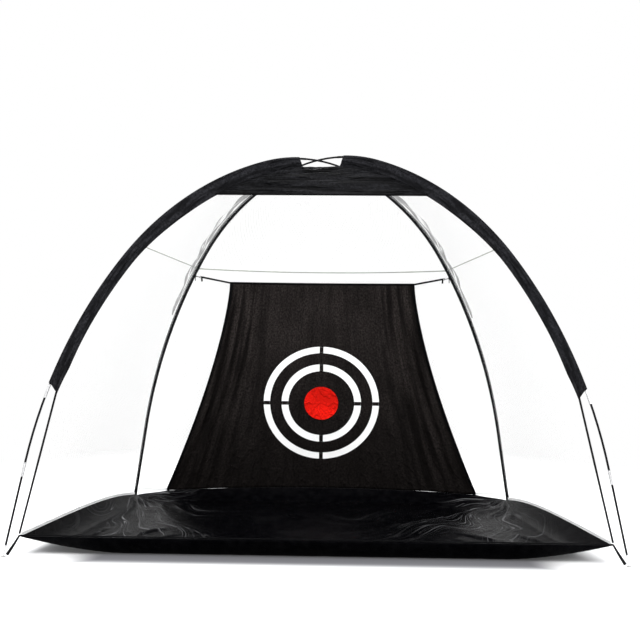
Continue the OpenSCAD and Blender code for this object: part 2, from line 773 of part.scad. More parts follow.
// Wrinkles run across between the sleeves and fade out at the seams and at the taut lower edge.
visor_waves = 2.5;
visor_sway = 40;
function wrinkle(t, c) =
    visor_wrinkle * sin(c * 180) * sin(t * 180)
        * sin(t * 360 * visor_waves + visor_sway * sin(c * 180));
module visor() {
    grid = [
        for (i = [0:visor_rows]) [
            for (j = [0:visor_columns])
                let (
                    t = i / visor_rows,
                    c = j / visor_columns,
                    l = visor_edge(LEFT, mix(visor_s[LEFT] + visor_start, front_end[LEFT], t)),
                    r = visor_edge(RIGHT, mix(visor_s[RIGHT] + visor_start, front_end[RIGHT], t))
                )
                mix(l, r, c) + [0, 0, wrinkle(t, c)]
        ]
    ];
    color("#242427") sheet_solid(grid, visor_t);
}
module visor_tape() {
    l = visor_edge(LEFT, visor_s[LEFT]);
    r = visor_edge(RIGHT, visor_s[RIGHT]);
    room = visor_tape_d / 2 * [1, 0, 0];
    color(CORD_COLOR) rod(l + room, r - room, visor_tape_d / 2);
}

// ---- Target ----------------------------------------------------------------------------------
// The cloth stands on a seam at the tray's rear lip, which is its fold line, and leans forward to
// the hang points.
fold_y = tray_rear_y;
fold_rise = 0.9;
fold_z = rear_lip_h + tray_t + fold_rise;
hang_s = [for (k = [LEFT, RIGHT]) rear_s(k, hang_h, rear_start[k], pole_len(k))];
hang_y = (pole_point(LEFT, hang_s[LEFT])[1] + pole_point(RIGHT, hang_s[RIGHT])[1]) / 2;
hang_forward = 6;
target_top_y = hang_y - sleeve_r - hang_forward;
target_lean = atan2(fold_y - target_top_y, target_top_h - fold_z);
target_len = (target_top_h - fold_z) / cos(target_lean);
side_curve = 1.4;
function target_half(b) =
    mix(target_top_w / 2, target_bottom_w / 2, pow(1 - b / target_len, side_curve));
module on_target() {
    translate([0, fold_y, fold_z]) rotate([target_lean, 0, 0]) children();
}
function target_point(x, b, forward) =
    [
        x,
        fold_y - b * sin(target_lean) - forward * cos(target_lean),
        fold_z + b * cos(target_lean) - forward * sin(target_lean)
    ];

// The middle is flat; two upright folds run down each side.
flat_share = 0.6;
folds_a_side = 2;
fold_fade = 0.6;
fold_columns = 10;
target_rows = 9;
function fold_depth(f) =
    let (g = max(0, (abs(f) - flat_share) / (1 - flat_share)))
    target_fold * sin(g * 360 * folds_a_side) * sin(g * 180);
target_columns = concat(
    [for (i = [0:fold_columns]) -1 + (1 - flat_share) * i / fold_columns],
    [for (i = [0:fold_columns]) flat_share + (1 - flat_share) * i / fold_columns]
);
module target_cloth() {
    top = target_len - hang_cord_d / 2 - top_hem_wall - bead_gap;
    grid = [
        for (i = [0:target_rows]) [
            for (f = target_columns)
                let (
                    b = top * i / target_rows,
                    fade = sin(180 * pow(i / target_rows, fold_fade))
                )
                [f * target_half(b), -fold_depth(f) * fade, b]
        ]
    ];
    color("#2a2728") on_target() sheet_solid(grid, target_t);
}
module target_top_hem() {
    half = target_top_w / 2;
    color("#1b1a1b")
        on_target() translate([0, 0, target_len])
            difference() {
                rod([-half, 0, 0], [half, 0, 0], hang_cord_d / 2 + top_hem_wall);
                rod([-half - cut_over, 0, 0], [half + cut_over, 0, 0], hang_cord_d / 2 + patch_fit);
            }
}
module patch(r, hole_r) {
    on_target()
        translate([0, -target_t / 2 - patch_fit, bull_h])
            rotate([90, 0, 0])
                difference() {
                    cylinder(h = patch_t, r = r, $fn = 96);
                    if (hole_r > 0) {
                        translate([0, 0, -cut_over])
                            cylinder(h = patch_t + 2 * cut_over, r = hole_r, $fn = 96);
                        for (a = [0, 90])
                            rotate([0, 0, a]) cube([ring_gap, 3 * r, 3 * patch_t], center = true);
                    }
                }
}
module outer_ring() {
    color("white") patch(outer_ring_r[1], outer_ring_r[0]);
}
module inner_ring() {
    color("white") patch(inner_ring_r[1], inner_ring_r[0]);
}
module bull_patch() {
    color("#e8200e") patch(bull_r, 0);
}

// ---- Hang cord, hooks and pole loops ---------------------------------------------------------
// A loop stands on each rear sleeve and faces the target's top corner. The hook's arm goes through
// it from the front, so the target comes off when it is drawn forward.
eye_r = 2.8;
eye_d = 2.4;
cord_loop_r = 3.8;
cord_loop_d = 1.8;
// How far the loop sits round to the front of the sleeve, clear of the rear net.
loop_turn = 75;
// Air between the loop and the sleeve, between the arm and the loop, and before the hook's bend.
loop_gap = 1.2;
arm_gap = 0.4;
bend_gap = 0.8;
elbow_over = 0.1;
// side is +1 for the right; its rear pole is the left one.
function rear_pole(side) = side > 0 ? LEFT : RIGHT;
function top_corner(side) = target_point(side * target_top_w / 2, target_len, 0);
function loop_root(side) =
    let (
        k = rear_pole(side),
        c = pole_point(k, hang_s[k])
    )
    rear_face(k, hang_s[k], c + [-side * cos(loop_turn), -sin(loop_turn), 0], loop_d / 2 + loop_gap);
function inward_dir(side) =
    let (v = top_corner(side) - loop_root(side), h = [v[0], 0, v[2]])
    h / norm(h);
function loop_centre(side) = loop_root(side) + loop_r * inward_dir(side);
function arm_point(side) =
    loop_centre(side) + (loop_r - loop_d / 2 - hook_wire_d / 2 - arm_gap) * inward_dir(side);
function bend_point(side) = arm_point(side) - [0, loop_d / 2 + hook_wire_d / 2 + bend_gap, 0];
function eye_point(side) = bend_point(side) + (hook_shank + eye_r) * inward_dir(side);

module pole_loop(side) {
    color(CORD_COLOR)
        translate(loop_centre(side)) rotate([90, 0, 0]) wire_ring(loop_r, loop_d);
}
module hook(side) {
    bend = bend_point(side);
    eye = eye_point(side);
    color("#101010") {
        translate(bend) sphere(d = hook_wire_d, $fn = 24);
        rod(bend, bend + [0, hook_arm, 0], hook_wire_d / 2);
        rod(bend, bend - [0, 0, hook_tail], hook_wire_d / 2);
        rod(bend, bend + hook_shank * inward_dir(side), hook_wire_d / 2);
        translate(eye) wire_ring(eye_r, eye_d);
    }
}
// One elastic cord: through the top hem, out at both corners, with a loop in each hook's eye.
module hang_cord() {
    r = hang_cord_d / 2;
    color(CORD_COLOR) {
        rod(top_corner(-1), top_corner(1), r);
        for (side = [-1, 1]) {
            start = eye_point(side) + cord_loop_r * [-side, 0, 0];
            goal = top_corner(side);
            along = (goal - start) / norm(goal - start);
            translate(goal) sphere(r = r + elbow_over);
            rod(start + along * cord_loop_r, goal, r);
            translate(start) rotate([90, 0, 0]) wire_ring(cord_loop_r, cord_loop_d);
        }
    }
}

pole_sections_of(LEFT);  // left_pole_sections
pole_sections_of(RIGHT);  // right_pole_sections
ferrules_of(LEFT);  // left_pole_ferrules
ferrules_of(RIGHT);  // right_pole_ferrules
leg(LEFT, false);  // front_left_leg
leg(RIGHT, false);  // front_right_leg
leg(RIGHT, true);  // rear_left_leg
leg(LEFT, true);  // rear_right_leg
tip(LEFT, false);  // front_left_tip
tip(RIGHT, false);  // front_right_tip
tip(RIGHT, true);  // rear_left_tip
tip(LEFT, true);  // rear_right_tip
shock_cord(LEFT);  // left_shock_cord
shock_cord(RIGHT);  // right_shock_cord
front_sleeve(LEFT);  // front_left_sleeve
front_sleeve(RIGHT);  // front_right_sleeve
rear_sleeve(RIGHT);  // rear_left_sleeve
rear_sleeve(LEFT);  // rear_right_sleeve
visor();
visor_tape();
top_net();
side_net_upper(LEFT);  // left_net_upper
side_net_lower(LEFT);  // left_net_lower
side_net_upper(RIGHT);  // right_net_upper
side_net_lower(RIGHT);  // right_net_lower
rear_net_upper();
rear_net_lower();
side_net_seam(LEFT);  // left_net_seam
side_net_seam(RIGHT);  // right_net_seam
rear_net_seam();
side_net_hem(LEFT);  // left_net_hem
side_net_hem(RIGHT);  // right_net_hem
rear_net_hem();
edge_cord(LEFT);  // left_edge_cord
edge_cord(RIGHT);  // right_edge_cord
floor_tray();
front_lip_cord();
strap(LEFT);  // front_left_strap
strap(RIGHT);  // front_right_strap
foot_ring(LEFT);  // front_left_ring
foot_ring(RIGHT);  // front_right_ring
rear_pocket(RIGHT);  // rear_left_pocket
rear_pocket(LEFT);  // rear_right_pocket
target_cloth();
target_top_hem();
outer_ring();
inner_ring();
bull_patch();
hang_cord();
hook(-1);  // left_hook
hook(1);  // right_hook
pole_loop(-1);  // left_pole_loop
pole_loop(1);  // right_pole_loop
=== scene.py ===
"""Golf chipping net: the cloth, netting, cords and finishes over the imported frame."""

import math

import bmesh
import bpy
from mathutils import Matrix, Vector, noise


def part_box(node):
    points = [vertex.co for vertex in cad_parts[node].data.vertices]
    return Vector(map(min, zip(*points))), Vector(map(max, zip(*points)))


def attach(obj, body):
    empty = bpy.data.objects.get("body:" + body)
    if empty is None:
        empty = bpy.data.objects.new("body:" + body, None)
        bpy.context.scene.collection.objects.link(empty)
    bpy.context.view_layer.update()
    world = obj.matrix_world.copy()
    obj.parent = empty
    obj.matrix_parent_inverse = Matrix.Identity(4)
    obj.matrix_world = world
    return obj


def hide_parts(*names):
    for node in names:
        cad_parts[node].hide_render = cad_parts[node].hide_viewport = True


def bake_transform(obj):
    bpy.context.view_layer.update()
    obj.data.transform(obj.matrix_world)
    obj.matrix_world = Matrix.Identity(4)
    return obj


bl_info = {
    "name": "Golf chipping net",
    "version": (1, 0, 0),
    "blender": (4, 5, 0),
    "location": "View3D > Sidebar > Chipping net",
    "description": "Builds the chipping net's cloth, netting, cords and finishes",
    "category": "Object",
}

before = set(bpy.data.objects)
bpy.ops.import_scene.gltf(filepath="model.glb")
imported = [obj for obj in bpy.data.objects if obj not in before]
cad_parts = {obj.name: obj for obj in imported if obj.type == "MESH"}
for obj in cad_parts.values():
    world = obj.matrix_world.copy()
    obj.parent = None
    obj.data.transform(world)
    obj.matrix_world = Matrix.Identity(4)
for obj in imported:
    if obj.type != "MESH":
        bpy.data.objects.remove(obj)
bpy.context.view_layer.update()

# ---- Sizes of the frame, in metres and degrees ------------------------------------------------
# The poles: spans of the feet, height, bending radius, and leans from upright at the foot, after
# the leg and after the shoulder.
FRONT_SPAN = 2.0
REAR_SPAN = 1.6
DEPTH = 1.0
SUMMIT = 1.375
POLE_RISE = 0.0075
LEG_STRAIGHT = 0.31
CROWN_R = 0.57
SUMMIT_SHARE = 0.527
FRONT_LEANS = (12.5, 38.0, 72.0)
REAR_LEANS = (10.7, 35.0, 71.0)
# The sleeves: width of the flat part below and beside the visor, radius round the rear poles,
# start on the front poles, bare half at the crossing, and the rear sleeves' end above the foot.
SLEEVE_W = 0.036
SLEEVE_TOP_W = 0.045
SLEEVE_R = 0.0058
SLEEVE_START = 0.574
BARE_HALF = 0.095
REAR_SLEEVE_END = 0.046
SEAM_SHIFT = 0.0015
# The tray: half widths, front and rear edges, lips, corners, side hems and sheet.
TRAY_FRONT_HALF = 0.95
TRAY_REAR_HALF = 0.786
TRAY_FRONT_Y = -0.492
TRAY_REAR_Y = 0.485
LIP_H = 0.064
LIP_RUN = 0.058
CORNER_REACH = 0.38
HEM_H = 0.009
REAR_LIP_H = 0.039
REAR_CORNER_H = 0.010
TRAY_T = 0.0015
# Where the tray is drawn to the right rear foot, as x and y.
REAR_FOOT = (0.79, 0.47)
# The target: height of its bottom seam, lean, length up the cloth, half widths, and the height of
# its centre up the cloth.
FOLD_Z = 0.0414
TARGET_LEAN = 9.536
TARGET_LEN = 0.8889
TARGET_TOP_HALF = 0.379
TARGET_BOTTOM_HALF = 0.66
BULL_H = 0.383
# Heights of the nets' seams and of the visor's lower edge on the poles.
REAR_SEAM_H = 0.978
FRONT_SEAM_H = 1.04
VISOR_H = 1.252
# A place below the poles' crossing, which the top net's rear corners look to.
BELOW_CROSSING = (0.0, 0.05, 1.33)
# Air between a net's edge and the sleeve that it is sewn to.
SKIN_GAP = 0.0005
# The rings and the centre patch stand this far in front of the target's plane.
PATCH_LIFT = 0.0016
RINGS = {"outer": (0.215, 0.242), "inner": (0.138, 0.167)}
RING_GAP = 0.016
BULL_R = 0.071
TOP_HEM_R = 0.0041
LOOP_D = 0.0018
SIDE_HEM_W = 0.012
# Thickness of each cloth.
SLEEVE_T = 0.0007
VISOR_T = 0.0008
SHEET_T = 0.0009
TAPE_T = 0.0016
RING_T = 0.0007
THIN_T = 0.0006
# Length and width of a stitch.
FINE_STITCH = (0.0034, 0.0006)
PATCH_STITCH = (0.0036, 0.0006)
HEM_STITCH = (0.0045, 0.0012)
# The camera: lens in millimetres, place, and yaw, pitch and roll in degrees.
LENS = 51.24
CAMERA_PLACE = (0.078, -3.403, 0.782)
CAMERA_TURNS = (1.30, -0.20, 0.58)
# The middles of the hooks' eyes, by side: -1 is left and 1 is right.
HOOK_EYES = {-1: (-0.50485, 0.33951, 0.94088), 1: (0.50286, 0.33839, 0.9408)}


def mix(a, b, t):
    return a + (b - a) * t


def smooth(x, low=0.0, high=1.0):
    t = min(1.0, max(0.0, (x - low) / (high - low)))
    return t * t * (3 - 2 * t)


def ripple(x, y, z=0.0):
    """Smooth noise from -1 to 1 that is the same in every run."""
    return noise.noise(Vector((x, y, z)))


# ---- The poles' path ---------------------------------------------------------------------------
class Pole:
    """One bent pole. s is the distance along it from its front foot."""

    def __init__(self, side, summit):
        self.side = side
        mean_half = (FRONT_SPAN + REAR_SPAN) / 2
        self.run = math.hypot(mean_half, DEPTH)
        self.dx, self.dy = mean_half / self.run, DEPTH / self.run
        front = self.radii(FRONT_LEANS, SUMMIT_SHARE * self.run, summit)
        rear = self.radii(REAR_LEANS, (1 - SUMMIT_SHARE) * self.run, summit)
        turns = [
            (0, 0),
            (front[0], FRONT_LEANS[1] - FRONT_LEANS[0]),
            (front[1], FRONT_LEANS[2] - FRONT_LEANS[1]),
            (CROWN_R, 180 - FRONT_LEANS[2] - REAR_LEANS[2]),
            (rear[1], REAR_LEANS[2] - REAR_LEANS[1]),
            (rear[0], REAR_LEANS[1] - REAR_LEANS[0]),
            (0, 0),
        ]
        self.stretches = [
            (math.radians(t) * r if t else LEG_STRAIGHT, math.radians(t)) for r, t in turns
        ]
        self.starts = [(0.0, 0.0, 0.0, math.radians(90 - FRONT_LEANS[0]))]
        for length, turn in self.stretches:
            self.starts.append(self.step(self.starts[-1], length, turn))
        self.length = self.starts[-1][0]
        crossing = self.run * FRONT_SPAN / (FRONT_SPAN + REAR_SPAN)
        cross = self.search(lambda s: self.state(s)[1] < crossing, 0, self.length)
        self.front_end = cross - BARE_HALF
        self.rear_start = cross + BARE_HALF
        self.rear_end = self.length - REAR_SLEEVE_END

    @staticmethod
    def radii(leans, run, rise):
        a, b, c = (math.radians(x) for x in leans)
        u = run - LEG_STRAIGHT * math.sin(a) - CROWN_R * math.cos(c)
        z = rise - LEG_STRAIGHT * math.cos(a) - CROWN_R * (1 - math.sin(c))
        p, q = math.cos(a) - math.cos(b), math.cos(b) - math.cos(c)
        r, t = math.sin(b) - math.sin(a), math.sin(c) - math.sin(b)
        det = p * t - q * r
        return (u * t - q * z) / det, (p * z - r * u) / det

    @staticmethod
    def step(state, length, turn):
        s, u, z, h = state
        if not turn:
            return s + length, u + length * math.cos(h), z + length * math.sin(h), h
        r, e = length / turn, h - turn
        return (
            s + length,
            u + r * (math.sin(h) - math.sin(e)),
            z + r * (math.cos(e) - math.cos(h)),
            e,
        )

    @staticmethod
    def search(before, low, high):
        for _ in range(50):
            middle = (low + high) / 2
            low, high = (middle, high) if before(middle) else (low, middle)
        return (low + high) / 2

    def state(self, s):
        i = 0
        while i < len(self.stretches) - 1 and s >= self.starts[i + 1][0]:
            i += 1
        length, turn = self.stretches[i]
        part = s - self.starts[i][0]
        return self.step(self.starts[i], part, turn * part / length)

    def front_at(self, z):
        return self.search(lambda s: self.state(s)[2] < z, 0, self.front_end)

    def rear_at(self, z):
        return self.search(lambda s: self.state(s)[2] > z, self.rear_start, self.length)

    def point(self, s, inward=0.0, forward=0.0):
        """A point beside the pole: inward to the middle of its arch, forward to the front."""
        _, u, z, h = self.state(s)
        u += inward * math.sin(h)
        z -= inward * math.cos(h)
        return Vector(
            (
                self.side * (self.dx * u - FRONT_SPAN / 2 + forward * self.dy),
                self.dy * u - DEPTH / 2 - forward * self.dx,
                z,
            )
        )

    def heading(self, s):
        h = self.state(s)[3]
        return Vector((self.side * self.dx * math.cos(h), self.dy * math.cos(h), math.sin(h)))

    def face(self, s, to):
        """The point just off the rear sleeve's skin that looks towards another point."""
        centre, along = self.point(s), self.heading(s)
        way = to - centre
        way -= way.dot(along) * along
        return centre + (SLEEVE_R + SKIN_GAP) * way.normalized()


LEFT = Pole(1, SUMMIT)
RIGHT = Pole(-1, SUMMIT + POLE_RISE)
# Each side's front pole, and the pole whose rear half stands on that side.
FRONT_POLE = {-1: LEFT, 1: RIGHT}
REAR_POLE = {-1: RIGHT, 1: LEFT}
SIDE_NAMES = {-1: "left", 1: "right"}


# ---- Meshes ------------------------------------------------------------------------------------
def new_piece(name, bm, finish, smooth_faces=True):
    """A finished bmesh becomes a piece of the object."""
    for face in bm.faces:
        face.smooth = smooth_faces
    mesh = bpy.data.meshes.new(name)
    bm.to_mesh(mesh)
    bm.free()
    mesh.materials.append(finish)
    piece = bpy.data.objects.new(name, mesh)
    bpy.context.scene.collection.objects.link(piece)
    return piece


def grid_mesh(columns, rows, place, size):
    """A grid laid out by place(u, v), with a UV map in metres of cloth."""
    bm = bmesh.new()
    bmesh.ops.create_grid(bm, x_segments=columns, y_segments=rows, size=0.5)
    cloth = bm.loops.layers.uv.new("Cloth")
    for face in bm.faces:
        for loop in face.loops:
            at = loop.vert.co
            loop[cloth].uv = ((at.x + 0.5) * size[0], (at.y + 0.5) * size[1])
    for vert in bm.verts:
        vert.co = place(vert.co.x + 0.5, vert.co.y + 0.5)
    return bm


def sheet_piece(name, columns, rows, place, size, finish, thickness, smooth_faces=True):
    """A sheet of cloth over a grid. A net has no thickness."""
    bm = grid_mesh(columns, rows, place, size)
    piece = new_piece(name, bm, finish, smooth_faces)
    if thickness:
        thicken(piece, thickness)
    return piece


def thicken(piece, thickness, offset=0.0):
    wall = piece.modifiers.new("Cloth thickness", "SOLIDIFY")
    wall.thickness = thickness
    wall.offset = offset


def tube_piece(name, rings, sides, place, size, finish, capped=True):
    """A closed tube over a grid whose long edges meet: place(t, a) with a once round."""
    bm = grid_mesh(rings, sides, place, size)
    bmesh.ops.remove_doubles(bm, verts=bm.verts, dist=2e-6)
    if capped:
        edges = [edge for edge in bm.edges if edge.is_boundary]
        bmesh.ops.holes_fill(bm, edges=edges, sides=sides)
    bmesh.ops.recalc_face_normals(bm, faces=bm.faces)
    return new_piece(name, bm, finish)


def curve_point(points, t):
    """A point on the smooth curve through some points, t from 0 to 1."""
    last = len(points) - 1
    i = min(int(t * last), last - 1)
    f = t * last - i
    p0, p1 = points[max(i - 1, 0)], points[i]
    p2, p3 = points[i + 1], points[min(i + 2, last)]
    return 0.5 * (
        2 * p1 + (p2 - p0) * f + (2 * p0 - 5 * p1 + 4 * p2 - p3) * f * f
        + (3 * p1 - p0 - 3 * p2 + p3) * f**3
    )


def rope(name, points, radius, finish, rings, sides, flat=1.0):
    """A cord through some points. radius is a number or a function of t; flat squeezes it."""
    points = [Vector(p) for p in points]
    wide = radius if callable(radius) else lambda t: radius
    length = sum((b - a).length for a, b in zip(points, points[1:]))

    def place(t, a):
        here = curve_point(points, t)
        before = curve_point(points, max(0, t - 0.01))
        along = (curve_point(points, min(1, t + 0.01)) - before).normalized()
        side = along.cross(Vector((0, 0, 1)) if abs(along.z) < 0.9 else Vector((0, 1, 0)))
        side.normalize()
        up = side.cross(along)
        turn = 2 * math.pi * a
        return here + wide(t) * (side * math.cos(turn) + flat * up * math.sin(turn))

    return tube_piece(name, rings, sides, place, (length, 2 * math.pi * wide(0.5)), finish)


def ring_cord(name, centre, radius, thickness, normal, finish):
    """A closed loop of cord."""
    turn = Vector((0, 0, 1)).rotation_difference(normal).to_matrix()

    def place(t, a):
        big, small = 2 * math.pi * t, 2 * math.pi * a
        r = radius + thickness / 2 * math.cos(small)
        flat = Vector((r * math.cos(big), r * math.sin(big), thickness / 2 * math.sin(small)))
        return centre + turn @ flat

    size = (2 * math.pi * radius, math.pi * thickness)
    return tube_piece(name, 32, 12, place, size, finish, capped=False)


def stitch_row(name, place, count, length, width, finish):
    """A row of stitches: place(t) gives a point, the way along the seam and the cloth's normal."""
    bm = bmesh.new()
    for i in range(count):
        here, along, out = place((i + 0.5) / count)
        side = out.cross(along).normalized()
        frame_matrix = Matrix((along * length, side * width, out * width)).transposed().to_4x4()
        frame_matrix.translation = here
        bmesh.ops.create_icosphere(bm, subdivisions=1, radius=0.5, matrix=frame_matrix)
    return new_piece(name, bm, finish)


def settle(piece, body, slot, *nodes, sewn=False):
    """The piece goes with its body and stands for its CAD nodes; its slot is not used.

    A sewn piece, at the target's bottom seam, has its place baked into its mesh and is not
    attached to a body.
    """
    if sewn:
        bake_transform(piece)
    else:
        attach(piece, body)
    if nodes:
        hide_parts(*nodes)


# ---- Finishes ----------------------------------------------------------------------------------
class Nodes:
    """Adds linked nodes to a node tree, one step after another."""

    def __init__(self, tree):
        self.nodes, self.links = tree.nodes, tree.links

    def add(self, kind, inputs=None, **settings):
        node = self.nodes.new(kind)
        for key, value in settings.items():
            setattr(node, key, value)
        for key, value in (inputs or {}).items():
            if isinstance(value, bpy.types.NodeSocket):
                self.links.new(value, node.inputs[key])
            else:
                node.inputs[key].default_value = value
        return node

    def math(self, operation, a, b=0.0):
        return self.add("ShaderNodeMath", {0: a, 1: b}, operation=operation).outputs[0]

    def plus(self, a, b):
        return self.math("ADD", a, b)

    def minus(self, a, b):
        return self.math("SUBTRACT", a, b)

    def times(self, a, b):
        return self.math("MULTIPLY", a, b)

    def most(self, a, b):
        return self.math("MAXIMUM", a, b)

    def least(self, a, b):
        return self.math("MINIMUM", a, b)

    def size_of(self, a):
        return self.math("ABSOLUTE", a)

    def split(self, place):
        return self.add("ShaderNodeSeparateXYZ", {0: place}).outputs

    def mix_shaders(self, share, first, second):
        return self.add("ShaderNodeMixShader", {0: share, 1: first, 2: second}).outputs[0]

    def backdrop_ray(self):
        """1 for the rays that see a white backdrop: the camera's, and those off metal."""
        path = self.add("ShaderNodeLightPath").outputs
        seen = self.most(path["Is Camera Ray"], path["Is Transmission Ray"])
        return self.most(seen, path["Is Glossy Ray"])


class Finish(Nodes):
    """A node material that is put together step by step."""

    def __init__(self, name, color, roughness, **fixed):
        self.material = bpy.data.materials.new(name)
        self.material.use_nodes = True
        super().__init__(self.material.node_tree)
        self.shader = self.nodes["Principled BSDF"]
        self.shader.inputs["Base Color"].default_value = (*color, 1)
        self.shader.inputs["Roughness"].default_value = roughness
        for key, value in fixed.items():
            self.shader.inputs[key.replace("_", " ")].default_value = value
        self.height = None

    def remap(self, value, low, high, to_low=0.0, to_high=1.0):
        return self.add(
            "ShaderNodeMapRange",
            {0: value, 1: low, 2: high, 3: to_low, 4: to_high},
            interpolation_type="SMOOTHSTEP",
        ).outputs[0]

    def cloth_place(self):
        return self.add("ShaderNodeUVMap", uv_map="Cloth").outputs[0]

    def solid_place(self):
        return self.add("ShaderNodeTexCoord").outputs["Object"]

    def stretched(self, place, scale, turn=0.0):
        return self.add(
            "ShaderNodeMapping",
            {"Vector": place, "Scale": scale, "Rotation": (0, 0, math.radians(turn))},
        ).outputs[0]

    def noise(self, place, scale, detail=3.0, roughness=0.55):
        return self.add(
            "ShaderNodeTexNoise",
            {"Vector": place, "Scale": scale, "Detail": detail, "Roughness": roughness},
        ).outputs[0]

    def creases(self, place, scale, width):
        """Long thin ridges, 0 to 1, along the lines where a noise passes its middle."""
        level = self.noise(place, scale, 3, 0.5)
        return self.ridge(level, width)

    def ridge(self, level, width):
        """1 where a noise passes its middle, falling to 0 on both sides."""
        return self.remap(self.size_of(self.minus(level, 0.5)), 0.0, width, 1.0, 0.0)

    def bands(self, place, pitch, axis):
        scale = 2 * math.pi / (20 * pitch)
        return self.add(
            "ShaderNodeTexWave", {"Vector": place, "Scale": scale}, bands_direction=axis
        ).outputs["Fac"]

    def weave(self, place, pitch):
        """The height of a plain weave, 0 to 1."""
        return self.times(self.bands(place, pitch, "X"), self.bands(place, pitch, "Y"))

    def tint(self, value, dark, light):
        ramp = self.add("ShaderNodeMix", {0: value}, data_type="RGBA")
        ramp.inputs[6].default_value = (*dark, 1)
        ramp.inputs[7].default_value = (*light, 1)
        self.links.new(ramp.outputs[2], self.shader.inputs["Base Color"])

    def rough(self, value, low, high):
        self.links.new(self.remap(value, 0, 1, low, high), self.shader.inputs["Roughness"])

    def raise_by(self, value, depth):
        """Adds a height of some metres to the surface's relief."""
        step = self.add("ShaderNodeBump", {"Height": value, "Strength": 1.0, "Distance": depth})
        if self.height is not None:
            self.links.new(self.height, step.inputs["Normal"])
        self.height = step.outputs[0]
        self.links.new(self.height, self.shader.inputs["Normal"])


def cloth_finish(name, dark, light, roughness, crease, run, folds):
    """Woven cloth: threads, flecks, creases that run as the cloth is stretched, and painted light
    and shade along its folds.
    """
    pitch = 0.0011
    finish = Finish(name, dark, roughness, Specular_IOR_Level=0.02)
    place = finish.cloth_place()
    threads = finish.weave(place, pitch)
    mottle = finish.remap(finish.noise(place, 110, 5, 0.75), 0.34, 0.68)
    broad = finish.noise(place, 7, 3)
    blend = finish.times(finish.plus(finish.times(threads, 0.3), mottle), 0.75)
    blend = finish.times(blend, finish.remap(broad, 0.25, 0.75, 0.6, 1.1))
    creased = finish.stretched(place, run)
    lines = finish.creases(creased, 16, 0.05)
    # Painted light and shade: streaks along the folds, stretched and scaled as given, make the
    # colour darker and lighter.
    fold = finish.noise(finish.stretched(place, folds[:3]), folds[3], 2)
    fold = finish.minus(finish.remap(fold, 0.36, 0.64, 0.25, 1.7), 1.0)
    if name == "Target cloth":
        # It hangs in soft folds down both sides, where the folds' painted light and shade is
        # strongest, and painted shade darkens it towards the floor.
        across, along = finish.split(place)[:2]
        edge = finish.size_of(finish.minus(across, TARGET_BOTTOM_HALF))
        fold = finish.times(fold, finish.remap(edge, 0.3, 0.52, 0.25, 1.0))
        blend = finish.times(blend, finish.remap(along, 0.0, 0.85, 0.35, 1.1))
    blend = finish.times(blend, finish.plus(fold, 1.0))
    finish.tint(blend, dark, light)
    finish.rough(broad, roughness - 0.08, roughness + 0.08)
    finish.raise_by(threads, pitch * 0.28)
    finish.raise_by(finish.noise(creased, 30, 4), crease)
    finish.raise_by(lines, crease * 0.8)
    return finish.material


def cord_finish(name, dark, light):
    """Braided elastic: two families of strands that wind round the cord."""
    finish = Finish(name, dark, 0.7, Specular_IOR_Level=0.02)
    place = finish.cloth_place()
    one = finish.bands(finish.stretched(place, (1, 1, 1), 38), 0.0016, "X")
    two = finish.bands(finish.stretched(place, (1, 1, 1), -38), 0.0016, "X")
    braid = finish.most(one, two)
    finish.tint(braid, dark, light)
    finish.raise_by(braid, 0.0004)
    return finish.material


def tape_finish(name, dark, light, roughness):
    """Woven tape with cross ribs."""
    finish = Finish(name, dark, roughness, Specular_IOR_Level=0.1)
    place = finish.cloth_place()
    ribs = finish.bands(place, 0.0014, "X")
    mottle = finish.noise(place, 90, 4)
    finish.tint(finish.plus(finish.times(ribs, 0.4), finish.times(mottle, 0.6)), dark, light)
    finish.raise_by(ribs, 0.0003)
    return finish.material


def tray_finish(name, dark, light):
    """Coated tape-woven sheet: glossy, with flat ribbons, fine crinkles and painted highlights."""
    finish = Finish(name, dark, 0.2, Specular_IOR_Level=0.01)
    place = finish.cloth_place()
    crinkle = finish.noise(place, 30, 6, 0.62)
    broad = finish.noise(place, 2.5, 1)
    x, y = finish.split(finish.solid_place())[:2]
    out = finish.size_of(x)
    # The sheet is drawn flat in its middle and crinkled towards its sides.
    loose = finish.remap(out, 0.3, 0.62, 0.2, 1.0)
    finish.raise_by(finish.weave(place, 0.0034), 0.0003)
    finish.raise_by(finish.times(crinkle, loose), 0.0016)
    # Pulled creases fan out from the rear feet: their pattern is laid along the way and the
    # distance from the nearer foot, and is different for each half. They are raised, and
    # they carry painted highlights.
    away_x, away_y = finish.minus(out, REAR_FOOT[0]), finish.minus(y, REAR_FOOT[1])
    spot = finish.add("ShaderNodeCombineXYZ", {0: away_x, 1: away_y}).outputs[0]
    reach = finish.add("ShaderNodeVectorMath", {0: spot}, operation="LENGTH").outputs["Value"]
    turn = finish.plus(finish.math("ARCTAN2", away_y, away_x), finish.times(broad, 0.9))
    half = finish.times(finish.math("SIGN", x), 3.0)
    fan = {0: turn, 1: finish.times(reach, 0.07), 2: half}
    fan = finish.add("ShaderNodeCombineXYZ", fan).outputs[0]
    # They fade at the front lip, in the middle, far from the foot, just in front of the target
    # and at the outer corners.
    seen = finish.times(finish.remap(y, TRAY_FRONT_Y + 0.05, TRAY_FRONT_Y + 0.1), loose)
    seen = finish.times(seen, finish.remap(reach, 0.2, 0.8, 1.0, 0.3))
    near_foot = finish.remap(reach, 0.12, 0.34, 1.0, 0.0)
    seen = finish.times(seen, finish.most(near_foot, finish.remap(y, 0.1, 0.36, 1.0, 0.0)))
    seen = finish.times(seen, finish.remap(out, 0.74, 0.88, 1.0, 0.2))
    # Painted highlight: the crinkles and the crease lines are lighter in colour.
    painted_highlight = finish.times(finish.remap(crinkle, 0.35, 0.75), 0.012)
    gate = finish.remap(finish.noise(fan, 5, 2), 0.42, 0.6)
    for scale, width in ((9, 0.012), (22, 0.018)):
        line = finish.times(finish.ridge(finish.noise(fan, scale, 1), width), seen)
        finish.raise_by(line, 0.01 / scale)
        painted_highlight = finish.most(painted_highlight, finish.times(line, gate))
    finish.tint(painted_highlight, dark, light)
    finish.rough(broad, 0.16, 0.3)
    return finish.material


